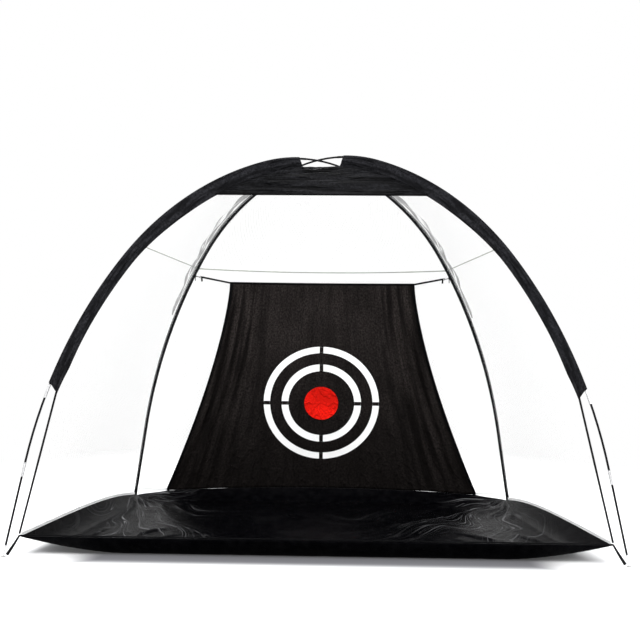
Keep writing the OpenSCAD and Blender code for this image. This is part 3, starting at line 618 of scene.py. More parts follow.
def net_finish(name, color, pitch, strand):
    """Knotless netting: diamond meshes of thin strands with nothing between them.

    pitch is the width of a diamond and strand is half of a strand's width, both measured level.
    """
    finish = Finish(name, color, 0.7, Specular_IOR_Level=0.25)
    u, v = finish.split(finish.cloth_place())[:2]

    def family(across):
        way = finish.math("DIVIDE", across, pitch)
        return finish.size_of(finish.minus(finish.math("FRACT", way), 0.5))

    one, two = family(finish.plus(u, v)), family(finish.minus(u, v))
    edge = 0.5 - strand / pitch
    lines = finish.most(one, two)
    knots = finish.plus(finish.least(one, two), 0.5 - edge)
    alpha = finish.remap(finish.most(lines, knots), edge - 0.02, edge + 0.02)
    finish.links.new(alpha, finish.shader.inputs["Alpha"])
    finish.raise_by(lines, 0.0004)
    return finish.material


def gathered_shade_finish(name):
    """Netting that lies in folds on itself: grey streaks of painted shade along the folds, open
    between them.
    """
    finish = Finish(name, (0.3, 0.3, 0.3), 0.7, Specular_IOR_Level=0.2)
    place = finish.cloth_place()
    folds = finish.noise(finish.stretched(place, (1, 0.12, 1), 12), 60, 3)
    threads = finish.bands(finish.stretched(place, (1, 1, 1), 40), 0.006, "X")
    # The white netting is coloured dark to mid grey here as painted shade of its folds.
    finish.tint(threads, (0.07, 0.07, 0.07), (0.3, 0.3, 0.3))
    covered = finish.remap(threads, 0, 1, 0.5, 0.95)
    covered = finish.times(finish.remap(folds, 0.42, 0.52), covered)
    finish.links.new(covered, finish.shader.inputs["Alpha"])
    finish.raise_by(folds, 0.001)
    return finish.material


def rod_finish(name):
    """Glass-fibre rod: black, with fibres that run along it under a gloss skin."""
    finish = Finish(name, (0.006, 0.006, 0.006), 0.5, Specular_IOR_Level=0.04)
    place = finish.solid_place()
    fibres = finish.noise(finish.stretched(place, (1, 1, 0.06)), 900, 3)
    scuffs = finish.noise(place, 38, 5, 0.7)
    finish.tint(finish.remap(fibres, 0.35, 0.7), (0.0025, 0.0025, 0.003), (0.009, 0.009, 0.01))
    finish.rough(scuffs, 0.4, 0.65)
    finish.raise_by(fibres, 0.0001)
    return finish.material


def metal_finish(name, color, roughness, bright_below=9.0):
    """Drawn metal: fine scratches and small dull spots. It goes near black above a height."""
    finish = Finish(name, color, roughness, Metallic=1.0)
    place = finish.solid_place()
    scratches = finish.noise(finish.stretched(place, (1, 1, 0.08)), 1400, 2)
    spots = finish.noise(place, 240, 5, 0.7)
    level = finish.split(place)[2]
    # Above the height the colour goes near black.
    bare = finish.remap(level, bright_below, bright_below + 0.1, 1.0, 0.0)
    shade = finish.times(finish.remap(spots, 0.35, 0.65, 0.72, 1.0), bare)
    finish.tint(shade, (0.008, 0.008, 0.008), color)
    finish.rough(scratches, roughness - 0.1, roughness + 0.14)
    finish.raise_by(scratches, 0.00006)
    return finish.material


def scaled(color, by):
    """A colour made darker or lighter."""
    return tuple(min(1, by * part) for part in color)


def plastic_finish(name, color):
    """Moulded plastic with a fine grain."""
    finish = Finish(name, color, 0.42, Specular_IOR_Level=0.08)
    place = finish.solid_place()
    grain = finish.noise(place, 1800, 3)
    finish.tint(finish.noise(place, 160, 3), color, scaled(color, 1.8))
    finish.rough(grain, 0.36, 0.5)
    finish.raise_by(grain, 0.00008)
    return finish.material


# ---- Settings ----------------------------------------------------------------------------------
def color_setting(name, description, default):
    return bpy.props.FloatVectorProperty(
        name=name, description=description, default=default, size=3, min=0, max=1, subtype="COLOR"
    )


def length_setting(name, description, default):
    return bpy.props.FloatProperty(
        name=name,
        description=description,
        default=default,
        min=0,
        subtype="DISTANCE",
        unit="LENGTH",
    )


class ChippingNetColors(bpy.types.PropertyGroup):
    """Colours of the net."""

    sleeve: color_setting("Sleeves", "Colour of sleeves and visor", (0.0075, 0.0075, 0.0085))
    target: color_setting("Target", "Colour of the target cloth", (0.0095, 0.008, 0.0075))
    tray: color_setting("Tray", "Colour of the floor sheet", (0.0004, 0.0004, 0.0007))
    ring: color_setting("Rings", "Colour of the rings", (0.95, 0.95, 0.94))
    bull: color_setting("Centre", "Colour of the centre patch", (0.86, 0.012, 0.006))
    net: color_setting("Netting", "Colour of the netting", (0.95, 0.95, 0.94))


class ChippingNetSizes(bpy.types.PropertyGroup):
    """Sizes of the cloth work."""

    mesh: length_setting("Mesh", "Width of one diamond of the netting", 0.015)
    strand: length_setting("Strand", "Half of a strand's width, level across the netting", 0.0006)
    wrinkle: length_setting("Visor wrinkles", "Depth of the visor's wrinkles", 0.0068)
    fold: length_setting("Target folds", "Depth of the folds at the target's sides", 0.01)
    tray_fold: length_setting("Tray folds", "Height of the folds in the floor sheet", 0.016)


LOOKS = {}


def look(name):
    return LOOKS[name]


def make_looks(colors, sizes):
    """All finishes, by the names that the pieces use."""
    sleeve, target, tray = tuple(colors.sleeve), tuple(colors.target), tuple(colors.tray)
    ring, bull = tuple(colors.ring), tuple(colors.bull)
    even = (1, 1, 1)
    # The cloths: title, colour and how much darker and lighter it goes, roughness, crease
    # depth, stretch of the creases, stretch and scale of the folds' painted light and shade.
    for name, title, color, low, high, roughness, crease, run, folds in (
        ("sleeve", "Sleeve cloth", sleeve, 0.5, 2.8, 0.62, 0.004, (0.2, 1.2, 1), (0.14, 1, 1, 70)),
        ("visor", "Visor cloth", sleeve, 0.1, 1.9, 0.5, 0.008, (0.16, 1.8, 1), (0.12, 1, 1, 42)),
        ("target", "Target cloth", target, 0.3, 3.2, 0.6, 0.0034, (1, 0.4, 1), (1, 0.09, 1, 26)),
        ("hem", "Hem cloth", sleeve, 0.2, 0.6, 0.65, 0.001, even, (1, 1, 1, 4)),
        ("ring", "Ring patch", ring, 0.93, 1, 0.6, 0.0002, even, (1, 1, 1, 4)),
        ("bull", "Centre patch", bull, 0.55, 1, 0.6, 0.004, even, (1, 1, 1, 4)),
    ):
        dark, light = scaled(color, low), scaled(color, high)
        LOOKS[name] = cloth_finish(title, dark, light, roughness, crease, run, folds)
    # The floor sheet's second colour is that of its painted highlights.
    LOOKS["tray"] = tray_finish("Floor sheet", tray, (0.16, 0.16, 0.165))
    LOOKS["net"] = net_finish("Netting", tuple(colors.net), sizes.mesh, sizes.strand)
    LOOKS["gathered net shade"] = gathered_shade_finish("Gathered netting with painted shade")
    LOOKS["tape"] = tape_finish("White tape", (0.86, 0.86, 0.85), (0.95, 0.95, 0.94), 0.65)
    LOOKS["seam"] = tape_finish("Net seam", (0.22, 0.24, 0.2), (0.34, 0.36, 0.31), 0.7)
    LOOKS["cord"] = cord_finish("Black elastic", (0.003, 0.003, 0.0033), (0.011, 0.011, 0.012))
    for name, low, high in (("black", 0.02, 0.06), ("grey", 0.2, 0.42), ("white", 0.6, 0.85)):
        title = f"{name.capitalize()} thread"
        LOOKS[f"{name} thread"] = cord_finish(title, (low,) * 3, (high,) * 3)
    LOOKS["rod"] = rod_finish("Glass-fibre rod")
    LOOKS["steel"] = metal_finish("Ferrule steel", (0.78, 0.78, 0.79), 0.26, 0.9)
    LOOKS["eyelet"] = metal_finish("Plated eyelet", (0.62, 0.62, 0.61), 0.34)
    LOOKS["plastic"] = plastic_finish("Hook plastic", (0.004, 0.004, 0.004))


def paint(names, finish):
    """Gives a finish to CAD pieces that keep their own shape."""
    for name in names:
        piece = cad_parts[name]
        if not piece.data.materials:
            piece.data.materials.append(finish)
        for slot in piece.material_slots:
            slot.link = "OBJECT"
            slot.material = finish


# ---- Cloth shapes ------------------------------------------------------------------------------
def net_edge(pole, s):
    """Where the netting meets a front sleeve's seam, from behind."""
    return pole.point(s, sleeve_width(pole, s) - 0.001, -SEAM_SHIFT)


def sleeve_width(pole, s):
    """A front sleeve is widest beside the visor and narrow below it."""
    z = pole.state(s)[2]
    return mix(SLEEVE_W, SLEEVE_TOP_W, smooth(z, 0.98, 1.2)) + 0.003 * (1 - smooth(z, 0.55, 0.75))


def side_lip(v):
    return mix(LIP_H, REAR_CORNER_H, v**4)


def tray_half(v):
    return mix(TRAY_FRONT_HALF, TRAY_REAR_HALF, v)


def rear_lip(x):
    reach = TRAY_REAR_HALF - TARGET_BOTTOM_HALF
    return mix(REAR_CORNER_H, REAR_LIP_H, min(1, max(0, (TRAY_REAR_HALF - abs(x)) / reach)))


def lift(edge, away, run=LIP_RUN):
    """Height of a lip that rises to its edge, at some distance away from it."""
    return edge * max(0.0, 1 - away / run) ** 1.5


def arch(x):
    """How far the seam behind the target bows up in its middle and sinks at its ends."""
    share = min(1.0, abs(x) / TARGET_BOTTOM_HALF)
    return 0.013 - 0.022 * share**2


def hem_line(side, v):
    """Where the white hem stands on the tray's side lip, v from front to rear."""
    return Vector(
        (side * tray_half(v), mix(TRAY_FRONT_Y, TRAY_REAR_Y, v), side_lip(v) + TRAY_T + 0.0005)
    )


def on_target(x, b, forward=0.0):
    """A point of the target's plane: b up the cloth from its bottom seam."""
    lean = math.radians(TARGET_LEAN)
    return Vector(
        (
            x,
            TRAY_REAR_Y - b * math.sin(lean) - forward * math.cos(lean),
            FOLD_Z + b * math.cos(lean) - forward * math.sin(lean),
        )
    )


def target_half(b):
    """Half the target's width, b up the cloth."""
    share = min(1.0, max(0.0, 1 - b / TARGET_LEN))
    return mix(TARGET_TOP_HALF, TARGET_BOTTOM_HALF, share**1.4)


def hem_top(side, v):
    return hem_line(side, v) + Vector((0, 0, HEM_H + 0.0005))


# ---- Operators ---------------------------------------------------------------------------------
class CHIPNET_OT_poles(bpy.types.Operator):
    """Finish the rods, ferrules, tips, rings and hooks"""

    bl_idname = "chipnet.poles"
    bl_label = "Poles and metal"

    def execute(self, context):
        make_looks(context.scene.chipnet_colors, context.scene.chipnet_sizes)
        names = list(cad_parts)
        paint([n for n in names if n.endswith(("_pole_sections", "_leg"))], look("rod"))
        paint([n for n in names if n.endswith(("_ferrules", "_tip"))], look("steel"))
        paint([n for n in names if n.endswith("_shock_cord")], look("plastic"))
        paint(["front_left_ring", "front_right_ring"], look("eyelet"))
        paint(["left_hook", "right_hook"], look("plastic"))
        return {"FINISHED"}


def sleeve_tunnel(name, rings, sides, place, flat_size):
    """A sleeve's cloth, drawn round the pole that it rests on."""
    piece = tube_piece(name, rings, sides, place, flat_size, look("sleeve"), capped=False)
    thicken(piece, SLEEVE_T, -1.0)
    settle(piece, "frame", "sleeve_cloth", name.removesuffix("_cloth"))


def front_sleeve(side):
    """A flattened tunnel: round over the pole, drawn flat to its seam on the inner side."""
    pole = FRONT_POLE[side]
    start, end = SLEEVE_START, pole.front_end
    flat_size = (end - start, 0.1)
    flat_half = 0.0011
    round_share = 0.22

    def outline(a):
        """Once round the tunnel, as (inward, forward)."""
        a %= 1.0
        mirror = 1 if a < 0.5 else -1
        t = 2 * a if a < 0.5 else 2 * (1 - a)
        if t < round_share:
            turn = math.pi / 2 * t / round_share
            return -SLEEVE_R * math.cos(turn), mirror * SLEEVE_R * math.sin(turn)
        t = (t - round_share) / (1 - round_share)
        wide = mix(SLEEVE_R, flat_half, t**0.8) * (1 - smooth(t, 0.97, 1.0))
        return SLEEVE_W * t, mirror * wide

    def place(t, a):
        inward, forward = outline(a)
        slack = smooth(inward, 0.004, 0.016) * (1 - smooth(inward, 0.028, 0.035))
        s = mix(start, end, t)
        near_start, near_end = 1 - smooth(s - start, 0.0, 0.08), 1 - smooth(end - s, 0.0, 0.13)
        wave = ripple(s * 9, inward * 30, side * 3.0) + 0.6 * ripple(s * 26, inward * 60, side * 7)
        pleats = ripple(inward * 130, s * 7, side * 11.0)
        gather = near_end + 0.6 * near_start
        forward += math.copysign(0.0012, forward) * slack * (wave + 2.2 * gather * pleats)
        share = max(0.0, inward) / SLEEVE_W
        wider = sleeve_width(pole, s) / SLEEVE_W if inward > 0 else 1
        inward *= mix(wider, 0.92, near_start * share)
        # Both ends are cut on a slant.
        slant_end, slant_start = 1 - smooth(end - s, 0, 0.03), 1 - smooth(s - start, 0, 0.05)
        s += share * (0.018 * slant_end - 0.026 * slant_start)
        return pole.point(s, inward, forward)

    name = f"front_{SIDE_NAMES[side]}_sleeve_cloth"
    sleeve_tunnel(name, 220, 40, place, flat_size)

    def seam(t):
        s = mix(start + 0.004, end - 0.004, t)
        here = pole.point(s, sleeve_width(pole, s) - 0.006, 0.0019)
        return here, pole.heading(s), Vector((0, -1, 0))

    stitches = stitch_row(f"{name}_stitches", seam, 250, *FINE_STITCH, look("black thread"))
    settle(stitches, "frame", "sleeve_cloth")


def rear_sleeve(side):
    """A narrow tunnel, drawn snug round the pole, with small cross creases."""
    pole = REAR_POLE[side]
    start, end = pole.rear_start, pole.rear_end

    def place(t, a):
        s = mix(start, end, t)
        turn = 2 * math.pi * a
        pucker = 0.00035 * ripple(s * 60, math.cos(turn) * 1.5, side * 5 + math.sin(turn))
        r = mix(0.0067, 0.0078, smooth(pole.state(s)[2], 0.25, 0.8)) + pucker
        return pole.point(s, -r * math.cos(turn), r * math.sin(turn))

    name = f"rear_{SIDE_NAMES[side]}_sleeve_cloth"
    size = (end - start, 2 * math.pi * SLEEVE_R)
    sleeve_tunnel(name, 300, 20, place, size)


class CHIPNET_OT_sleeves(bpy.types.Operator):
    """Sew the cloth sleeves round the poles"""

    bl_idname = "chipnet.sleeves"
    bl_label = "Sleeves"

    def execute(self, context):
        for side in (-1, 1):
            front_sleeve(side)
            rear_sleeve(side)
        return {"FINISHED"}


class CHIPNET_OT_visor(bpy.types.Operator):
    """Stretch the visor between the front sleeves"""

    bl_idname = "chipnet.visor"
    bl_label = "Visor"

    def execute(self, context):
        depth = context.scene.chipnet_sizes.wrinkle
        low_left, low_right = LEFT.front_at(VISOR_H), RIGHT.front_at(VISOR_H)
        top_left, top_right = LEFT.front_end, RIGHT.front_end

        def plain(u, v):
            ends = []
            for pole, low, top in ((LEFT, low_left, top_left), (RIGHT, low_right, top_right)):
                s = mix(low, top, v)
                ends.append(pole.point(s, sleeve_width(pole, s) - 0.005, 0.0032))
            return mix(*ends, u)

        def place(u, v):
            here = plain(u, v)
            edge = smooth(u, 0, 0.1) * (1 - smooth(u, 0.9, 1))
            taut = smooth(v, 0.02, 0.16) * (1 - 0.6 * smooth(v, 0.9, 1))
            drift = 0.9 * ripple(u * 2.2, v * 1.3, 4.0)
            ridges = math.sin(2 * math.pi * (4.6 * v + 0.5 * drift))
            fine = ripple(u * 3.5, v * 26, 9.0) + 0.7 * (1 - 2 * abs(ripple(u * 2.5, v * 17, 3.0)))
            share = mix(1.0, 0.6, u)
            rise = 0.7 * ridges + 0.9 * fine
            return here + Vector((0, -0.4, 1)) * depth * edge * taut * share * rise

        size = (0.56, 0.24)
        cloth = sheet_piece("visor_cloth", 120, 64, place, size, look("visor"), VISOR_T)
        settle(cloth, "frame", "sleeve_cloth", "visor")

        def tape_place(t, a):
            here = plain(t, 0)
            turn = 2 * math.pi * a
            return here + 0.0022 * Vector((0, math.cos(turn), 1.6 * math.sin(turn)))

        tape = tube_piece("visor_hem_tape", 80, 12, tape_place, (0.78, 0.014), look("hem"))
        settle(tape, "frame", "cord", "visor_tape")

        def stitch(t):
            here = plain(mix(0.01, 0.99, t), 0.075)
            return here + Vector((0, -0.0006, 0.0006)), Vector((1, 0, 0)), Vector((0, -0.6, 0.8))

        thread = look("black thread")
        stitches = stitch_row("visor_hem_stitches", stitch, 150, *FINE_STITCH, thread)
        settle(stitches, "frame", "sleeve_cloth")
        return {"FINISHED"}


def bulge(u, v):
    """1 in the middle of a panel and 0 along its edges."""
    return math.sin(math.pi * u) * math.sin(math.pi * v)


def net_panel(name, columns, rows, place, size, node):
    """A stretched panel of netting."""
    piece = sheet_piece(name, columns, rows, place, size, look("net"), 0.0)
    settle(piece, "frame", "netting", node)


def side_nets(side):
    """The two panels of one side, the netting gathered beside the rear pole, and the seam."""
    front, rear = FRONT_POLE[side], REAR_POLE[side]
    seam_front, seam_rear = front.front_at(FRONT_SEAM_H), rear.rear_at(REAR_SEAM_H)
    word = SIDE_NAMES[side]
    sleeves = [f"front_{word}_sleeve_cloth", f"rear_{word}_sleeve_cloth"]

    def upper(u, v):
        f = net_edge(front, mix(seam_front, front.front_end, v))
        r = rear.face(mix(seam_rear, rear.rear_start, v), f)
        wave = 0.004 * math.sin(math.pi * u) * ripple(u * 3, v * 7, side * 2.0)
        return mix(f, r, u) + Vector((side * wave, 0, wave))

    size = (0.6, front.front_end - seam_front)
    net_panel(f"{word}_upper_netting", 24, 40, upper, size, f"{word}_net_upper")

    # The front edge of the lower panel hangs on the edge cord first and then on the sleeve.
    top_of_cord = front.point(SLEEVE_START - 0.003, SLEEVE_W - 0.002) + Vector((0, 0.0027, 0))
    cord_share = 0.45
    foot_start, foot_end = 0.015, 0.985
    rear_low = rear.rear_end - 0.006

    def lower(u, v):
        low_f = hem_top(side, foot_start)
        if v < cord_share:
            f = mix(low_f, top_of_cord, v / cord_share)
        else:
            up = (v - cord_share) / (1 - cord_share)
            f = net_edge(front, mix(SLEEVE_START + 0.003, seam_front, up))
        r = rear.face(mix(rear_low, seam_rear, v), f)
        low_r = rear.face(rear_low, low_f)
        drop = hem_top(side, mix(foot_start, foot_end, u)) - mix(low_f, low_r, u)
        drop *= 1 - smooth(u, 0.94, 1.0)
        wave = 0.005 * bulge(u, v) * ripple(u * 3, v * 5, side * 6.0)
        return mix(f, r, u) + drop * (1 - v) ** 3 + Vector((side * wave, 0, 0))

    size = (0.95, seam_front - 0.06)
    sleeves = [*sleeves, f"{word}_hem_tape"]
    net_panel(f"{word}_lower_netting", 48, 60, lower, size, f"{word}_net_lower")

    def gathered(u, v):
        """The netting's slack edge, folded over beside the rear sleeve."""
        f = net_edge(front, mix(front.front_at(0.9), front.front_end, v))
        r = rear.face(mix(rear.rear_at(0.78), rear.rear_start, v), f)
        wide = mix(0.04, 0.34, smooth(v, 0.0, 0.9)) * (1 - 0.3 * ripple(v * 7, side))
        here = mix(r, f, u * wide + 0.05)
        return here + Vector((-side * (0.002 + 0.005 * u * math.sin(v * 40 + u * 9)), 0, -0.002))

    name, finish = f"{word}_netting_gather", look("gathered net shade")
    slack = sheet_piece(name, 12, 90, gathered, (0.07, 0.8), finish, 0.0)
    settle(slack, "frame", "netting")

    f = net_edge(front, seam_front)
    r = rear.face(seam_rear, f)
    seam = rope(f"{word}_net_seam_tape", [f, mix(f, r, 0.5), r], 0.0016, look("seam"), 24, 8)
    settle(seam, "frame", "white_tape", f"{word}_net_seam")


class CHIPNET_OT_nets(bpy.types.Operator):
    """Stretch the netting between the poles"""

    bl_idname = "chipnet.nets"
    bl_label = "Netting"

    def execute(self, context):
        for side in (-1, 1):
            side_nets(side)
        seam_l, seam_r = RIGHT.rear_at(REAR_SEAM_H), LEFT.rear_at(REAR_SEAM_H)

        def row(s_left, s_right, u, dip):
            l, r = RIGHT.point(s_left), LEFT.point(s_right)
            here = mix(RIGHT.face(s_left, r), LEFT.face(s_right, l), u)
            return here - Vector((0, 0, dip * 4 * u * (1 - u)))

        def upper(u, v):
            dip = 0.012 * (1 - v)
            here = row(mix(seam_l, RIGHT.rear_start, v), mix(seam_r, LEFT.rear_start, v), u, dip)
            wave = 0.004 * math.sin(math.pi * u) * ripple(u * 4, v * 5, 1.0)
            return here + Vector((0, wave, 0))

        def lower(u, v):
            dip = 0.012 * v
            here = row(mix(RIGHT.rear_end, seam_l, v), mix(LEFT.rear_end, seam_r, v), u, dip)
            wave = 0.005 * bulge(u, v) * ripple(u * 4, v * 4, 2.0)
            tucked = 0.007 * (1 - v) ** 2 * smooth(u, 0, 0.05) * smooth(1 - u, 0, 0.05)
            return here + Vector((0, max(-0.002, wave) + tucked, 0))

        size = (1.01, 0.46)
        net_panel("rear_upper_netting", 40, 30, upper, size, "rear_net_upper")
        size = (1.56, 0.94)
        net_panel("rear_lower_netting", 60, 40, lower, size, "rear_net_lower")

        points = [row(seam_l, seam_r, u / 8, 0.012) for u in range(9)]
        seam = rope("rear_net_seam_tape", points, 0.0022, look("seam"), 48, 8)
        settle(seam, "frame", "white_tape", "rear_net_seam")

        corners = {
            (x, y): (
                net_edge(FRONT_POLE[x], FRONT_POLE[x].front_end)
                if y < 0
                else REAR_POLE[x].face(REAR_POLE[x].rear_start, Vector(BELOW_CROSSING))
            )
            for x in (-1, 1)
            for y in (-1, 1)
        }

        def patch(u, v):
            near = mix(corners[-1, -1], corners[1, -1], u)
            far = mix(corners[-1, 1], corners[1, 1], u)
            return mix(near, far, v) - Vector((0, 0, 0.001))

        net_panel("top_netting", 12, 8, patch, (0.165, 0.085), "top_net")
        return {"FINISHED"}


class CHIPNET_OT_hems(bpy.types.Operator):
    """Sew the white hems at the foot of the netting"""

    bl_idname = "chipnet.hems"
    bl_label = "White hems"

    def execute(self, context):
        for side in (-1, 1):
            word = SIDE_NAMES[side]

            def place(u, v, side=side):
                here = hem_line(side, mix(0.012, 0.968, u))
                wave = 0.0012 * ripple(u * 24, v, side)
                return here + Vector((wave * side, 0, HEM_H * v))

            size = (0.95, HEM_H)
            tape = sheet_piece(f"{word}_hem_tape", 120, 4, place, size, look("tape"), TAPE_T)
            settle(tape, "frame", "white_tape", f"{word}_net_hem")

            def seam(t, side=side):
                up = 0.0025 if t < 0.5 else 0.0082
                here = hem_line(side, mix(0.016, 0.96, 2 * t % 1))
                here += Vector((-side * 0.0012, 0, up))
                return here, Vector((0, 1, 0)), Vector((side, 0, 0))

            thread = look("grey thread")
            stitches = stitch_row(f"{word}_hem_stitches", seam, 260, *HEM_STITCH, thread)
            settle(stitches, "frame", "white_tape")

        low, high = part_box("rear_net_hem")

        def rear(u, v):
            x, z = mix(low[0], high[0], u), mix(low[2], high[2], 0.5 * v)
            return Vector((x, (low[1] + high[1]) / 2 + 0.0006 * ripple(u * 30, v, 3.0), z))

        size = (high[0] - low[0], (high[2] - low[2]) / 2)
        tape = sheet_piece("rear_hem_tape", 120, 4, rear, size, look("tape"), TAPE_T)
        settle(tape, "frame", "white_tape", "rear_net_hem")
        return {"FINISHED"}


def tray_folds():
    """Folds in the floor sheet as (x, y, way in degrees, length, width, height)."""
    folds = []
    for side in (-1, 1):
        for i in range(9):
            way = 200 + 13 * i + 5 * ripple(i * 1.7, side * 3.1)
            reach = 0.34 + 0.16 * ripple(i * 2.3, side * 5.7)
            tall = 0.55 + 0.45 * ripple(i * 3.9, side * 1.3)
            away = 0.03 + 0.03 * (i % 3)
            angle = math.radians(way if side > 0 else 540 - way)
            x = side * 0.77 + away * math.cos(angle)
            y = 0.46 + away * math.sin(angle)
            folds.append((x, y, angle, reach, 0.007 + 0.004 * (i % 2), tall))
        for i in range(7):
            x = side * (0.5 + 0.06 * i)
            y = -0.36 + 0.07 * (i % 3)
            angle = math.radians(90 + side * (35 + 12 * ripple(i * 5.1, side)))
            folds.append((x, y, angle, 0.2, 0.006, 0.4 + 0.2 * (i % 3)))
    return folds


class CHIPNET_OT_tray(bpy.types.Operator):
    """Lay the floor tray with its lips and folds"""

    bl_idname = "chipnet.tray"
    bl_label = "Floor tray"

    def execute(self, context):
        height = context.scene.chipnet_sizes.tray_fold
        folds = tray_folds()

        def relief(x, y):
            rise = 0.0
            for fx, fy, angle, reach, width, tall in folds:
                px, py = x - fx, y - fy
                along = px * math.cos(angle) + py * math.sin(angle)
                if not -0.02 < along < reach:
                    continue
                bend = 0.02 * math.sin(along * 14 + fx * 9)
                across = -px * math.sin(angle) + py * math.cos(angle) - bend
                width_here = width * (1 + 1.5 * along / reach)
                fade = smooth(along, -0.02, 0.03) * (1 - smooth(along, 0.4 * reach, reach))
                rise = max(rise, tall * fade * math.exp(-((across / width_here) ** 2)))
            return rise

        def place(u, v):
            # More rows and columns near the lips than in the middle.
            u = 2 * u - 1
            u = math.copysign(1 - (1 - abs(u)) ** 1.3, u)
            v = v + 0.05 * math.sin(math.pi * v) ** 2 - 0.04 * math.sin(2 * math.pi * v)
            x, y = u * tray_half(v), mix(TRAY_FRONT_Y, TRAY_REAR_Y, v)
            from_front, from_rear = y - TRAY_FRONT_Y, TRAY_REAR_Y - y
            from_side = tray_half(v) - abs(x)
            rear_edge = rear_lip(x) + arch(x) * smooth(TRAY_REAR_HALF - abs(x), 0, 0.12)
            z = max(
                lift(LIP_H, from_front),
                lift(side_lip(v), from_side),
                lift(rear_edge, from_rear),
                lift(LIP_H, from_side + from_front, CORNER_REACH),
            )
            inside = smooth(from_front, 0.03, 0.1) * smooth(from_rear, 0.0, 0.05)
            inside *= smooth(from_side, 0.0, 0.05)
            crumple = 0.22 * max(0.0, ripple(x * 16, y * 16, 2.0))
            crumple += 0.1 * max(0.0, ripple(x * 45, y * 45))
            z += height * inside * (relief(x, y) + crumple)
            return Vector((x, y, z + TRAY_T / 2))

        size = (1.96, 1.03)
        sheet = sheet_piece("floor_tray_sheet", 288, 166, place, size, look("tray"), SHEET_T)
        settle(sheet, "frame", "tray_sheet", "floor_tray")
        return {"FINISHED"}


class CHIPNET_OT_cords(bpy.types.Operator):
    """Run the lip cord, the edge cords and the front straps"""

    bl_idname = "chipnet.cords"
    bl_label = "Cords and straps"

    def execute(self, context):
        low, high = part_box("front_lip_cord")
        y, z = (low[1] + high[1]) / 2, (low[2] + high[2]) / 2
        points = [(mix(low[0], high[0], i / 12), y, z) for i in range(13)]
        lip = rope("front_lip_binding", points, 0.0022, look("hem"), 96, 12)
        settle(lip, "frame", "cord", "front_lip_cord")
        for side in (-1, 1):
            word, pole = SIDE_NAMES[side], FRONT_POLE[side]
            top = pole.point(SLEEVE_START - 0.02, SLEEVE_W - 0.007)
            foot = Vector((side * TRAY_FRONT_HALF, TRAY_FRONT_Y, z + 0.005))
            points = [foot, mix(foot, top, 0.35), mix(foot, top, 0.75), top]
            edge = rope(f"{word}_net_edge_cord", points, 0.0035, look("cord"), 60, 10)
            settle(edge, "frame", "cord", f"{word}_edge_cord")
            low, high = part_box(f"front_{word}_strap")
            outer, inner = (low[0], high[0]) if side < 0 else (high[0], low[0])
            start = Vector((inner - side * 0.001, TRAY_FRONT_Y, high[2] - 0.0015))
            end = Vector((outer - side * 0.0072, -0.5, low[2] + 0.0045))
            points = [start, mix(start, end, 0.5) + Vector((0, 0, -0.0012)), end]
            name = f"front_{word}_elastic_strap"
            strap = rope(name, points, lambda t: mix(0.0033, 0.006, t), look("cord"), 24, 12, 0.9)
            settle(strap, "frame", "cord", f"front_{word}_strap")
        return {"FINISHED"}


class CHIPNET_OT_feet(bpy.types.Operator):
    """Sew the rear foot pockets"""

    bl_idname = "chipnet.feet"
    bl_label = "Rear foot pockets"

    def execute(self, context):
        for side in (-1, 1):
            word, pole = SIDE_NAMES[side], REAR_POLE[side]

            def place(t, a, pole=pole):
                turn = 2 * math.pi * a
                s = pole.length - mix(0.0, 0.044, t)
                r = mix(0.0072, 0.0062, smooth(t, 0.5, 1.0)) * (0.8 + 0.2 * smooth(t, 0, 0.1))
                r += 0.0002 * ripple(t * 9, math.cos(turn) * 2, math.sin(turn) * 2)
                here = pole.point(s, -r * math.cos(turn), r * math.sin(turn))
                here.z = max(here.z, 0.0003)
                return here

            size = (0.044, 0.045)
            cup = tube_piece(f"rear_{word}_pocket_cloth", 24, 24, place, size, look("hem"))
            settle(cup, "frame", "sleeve_cloth", f"rear_{word}_pocket")
        return {"FINISHED"}


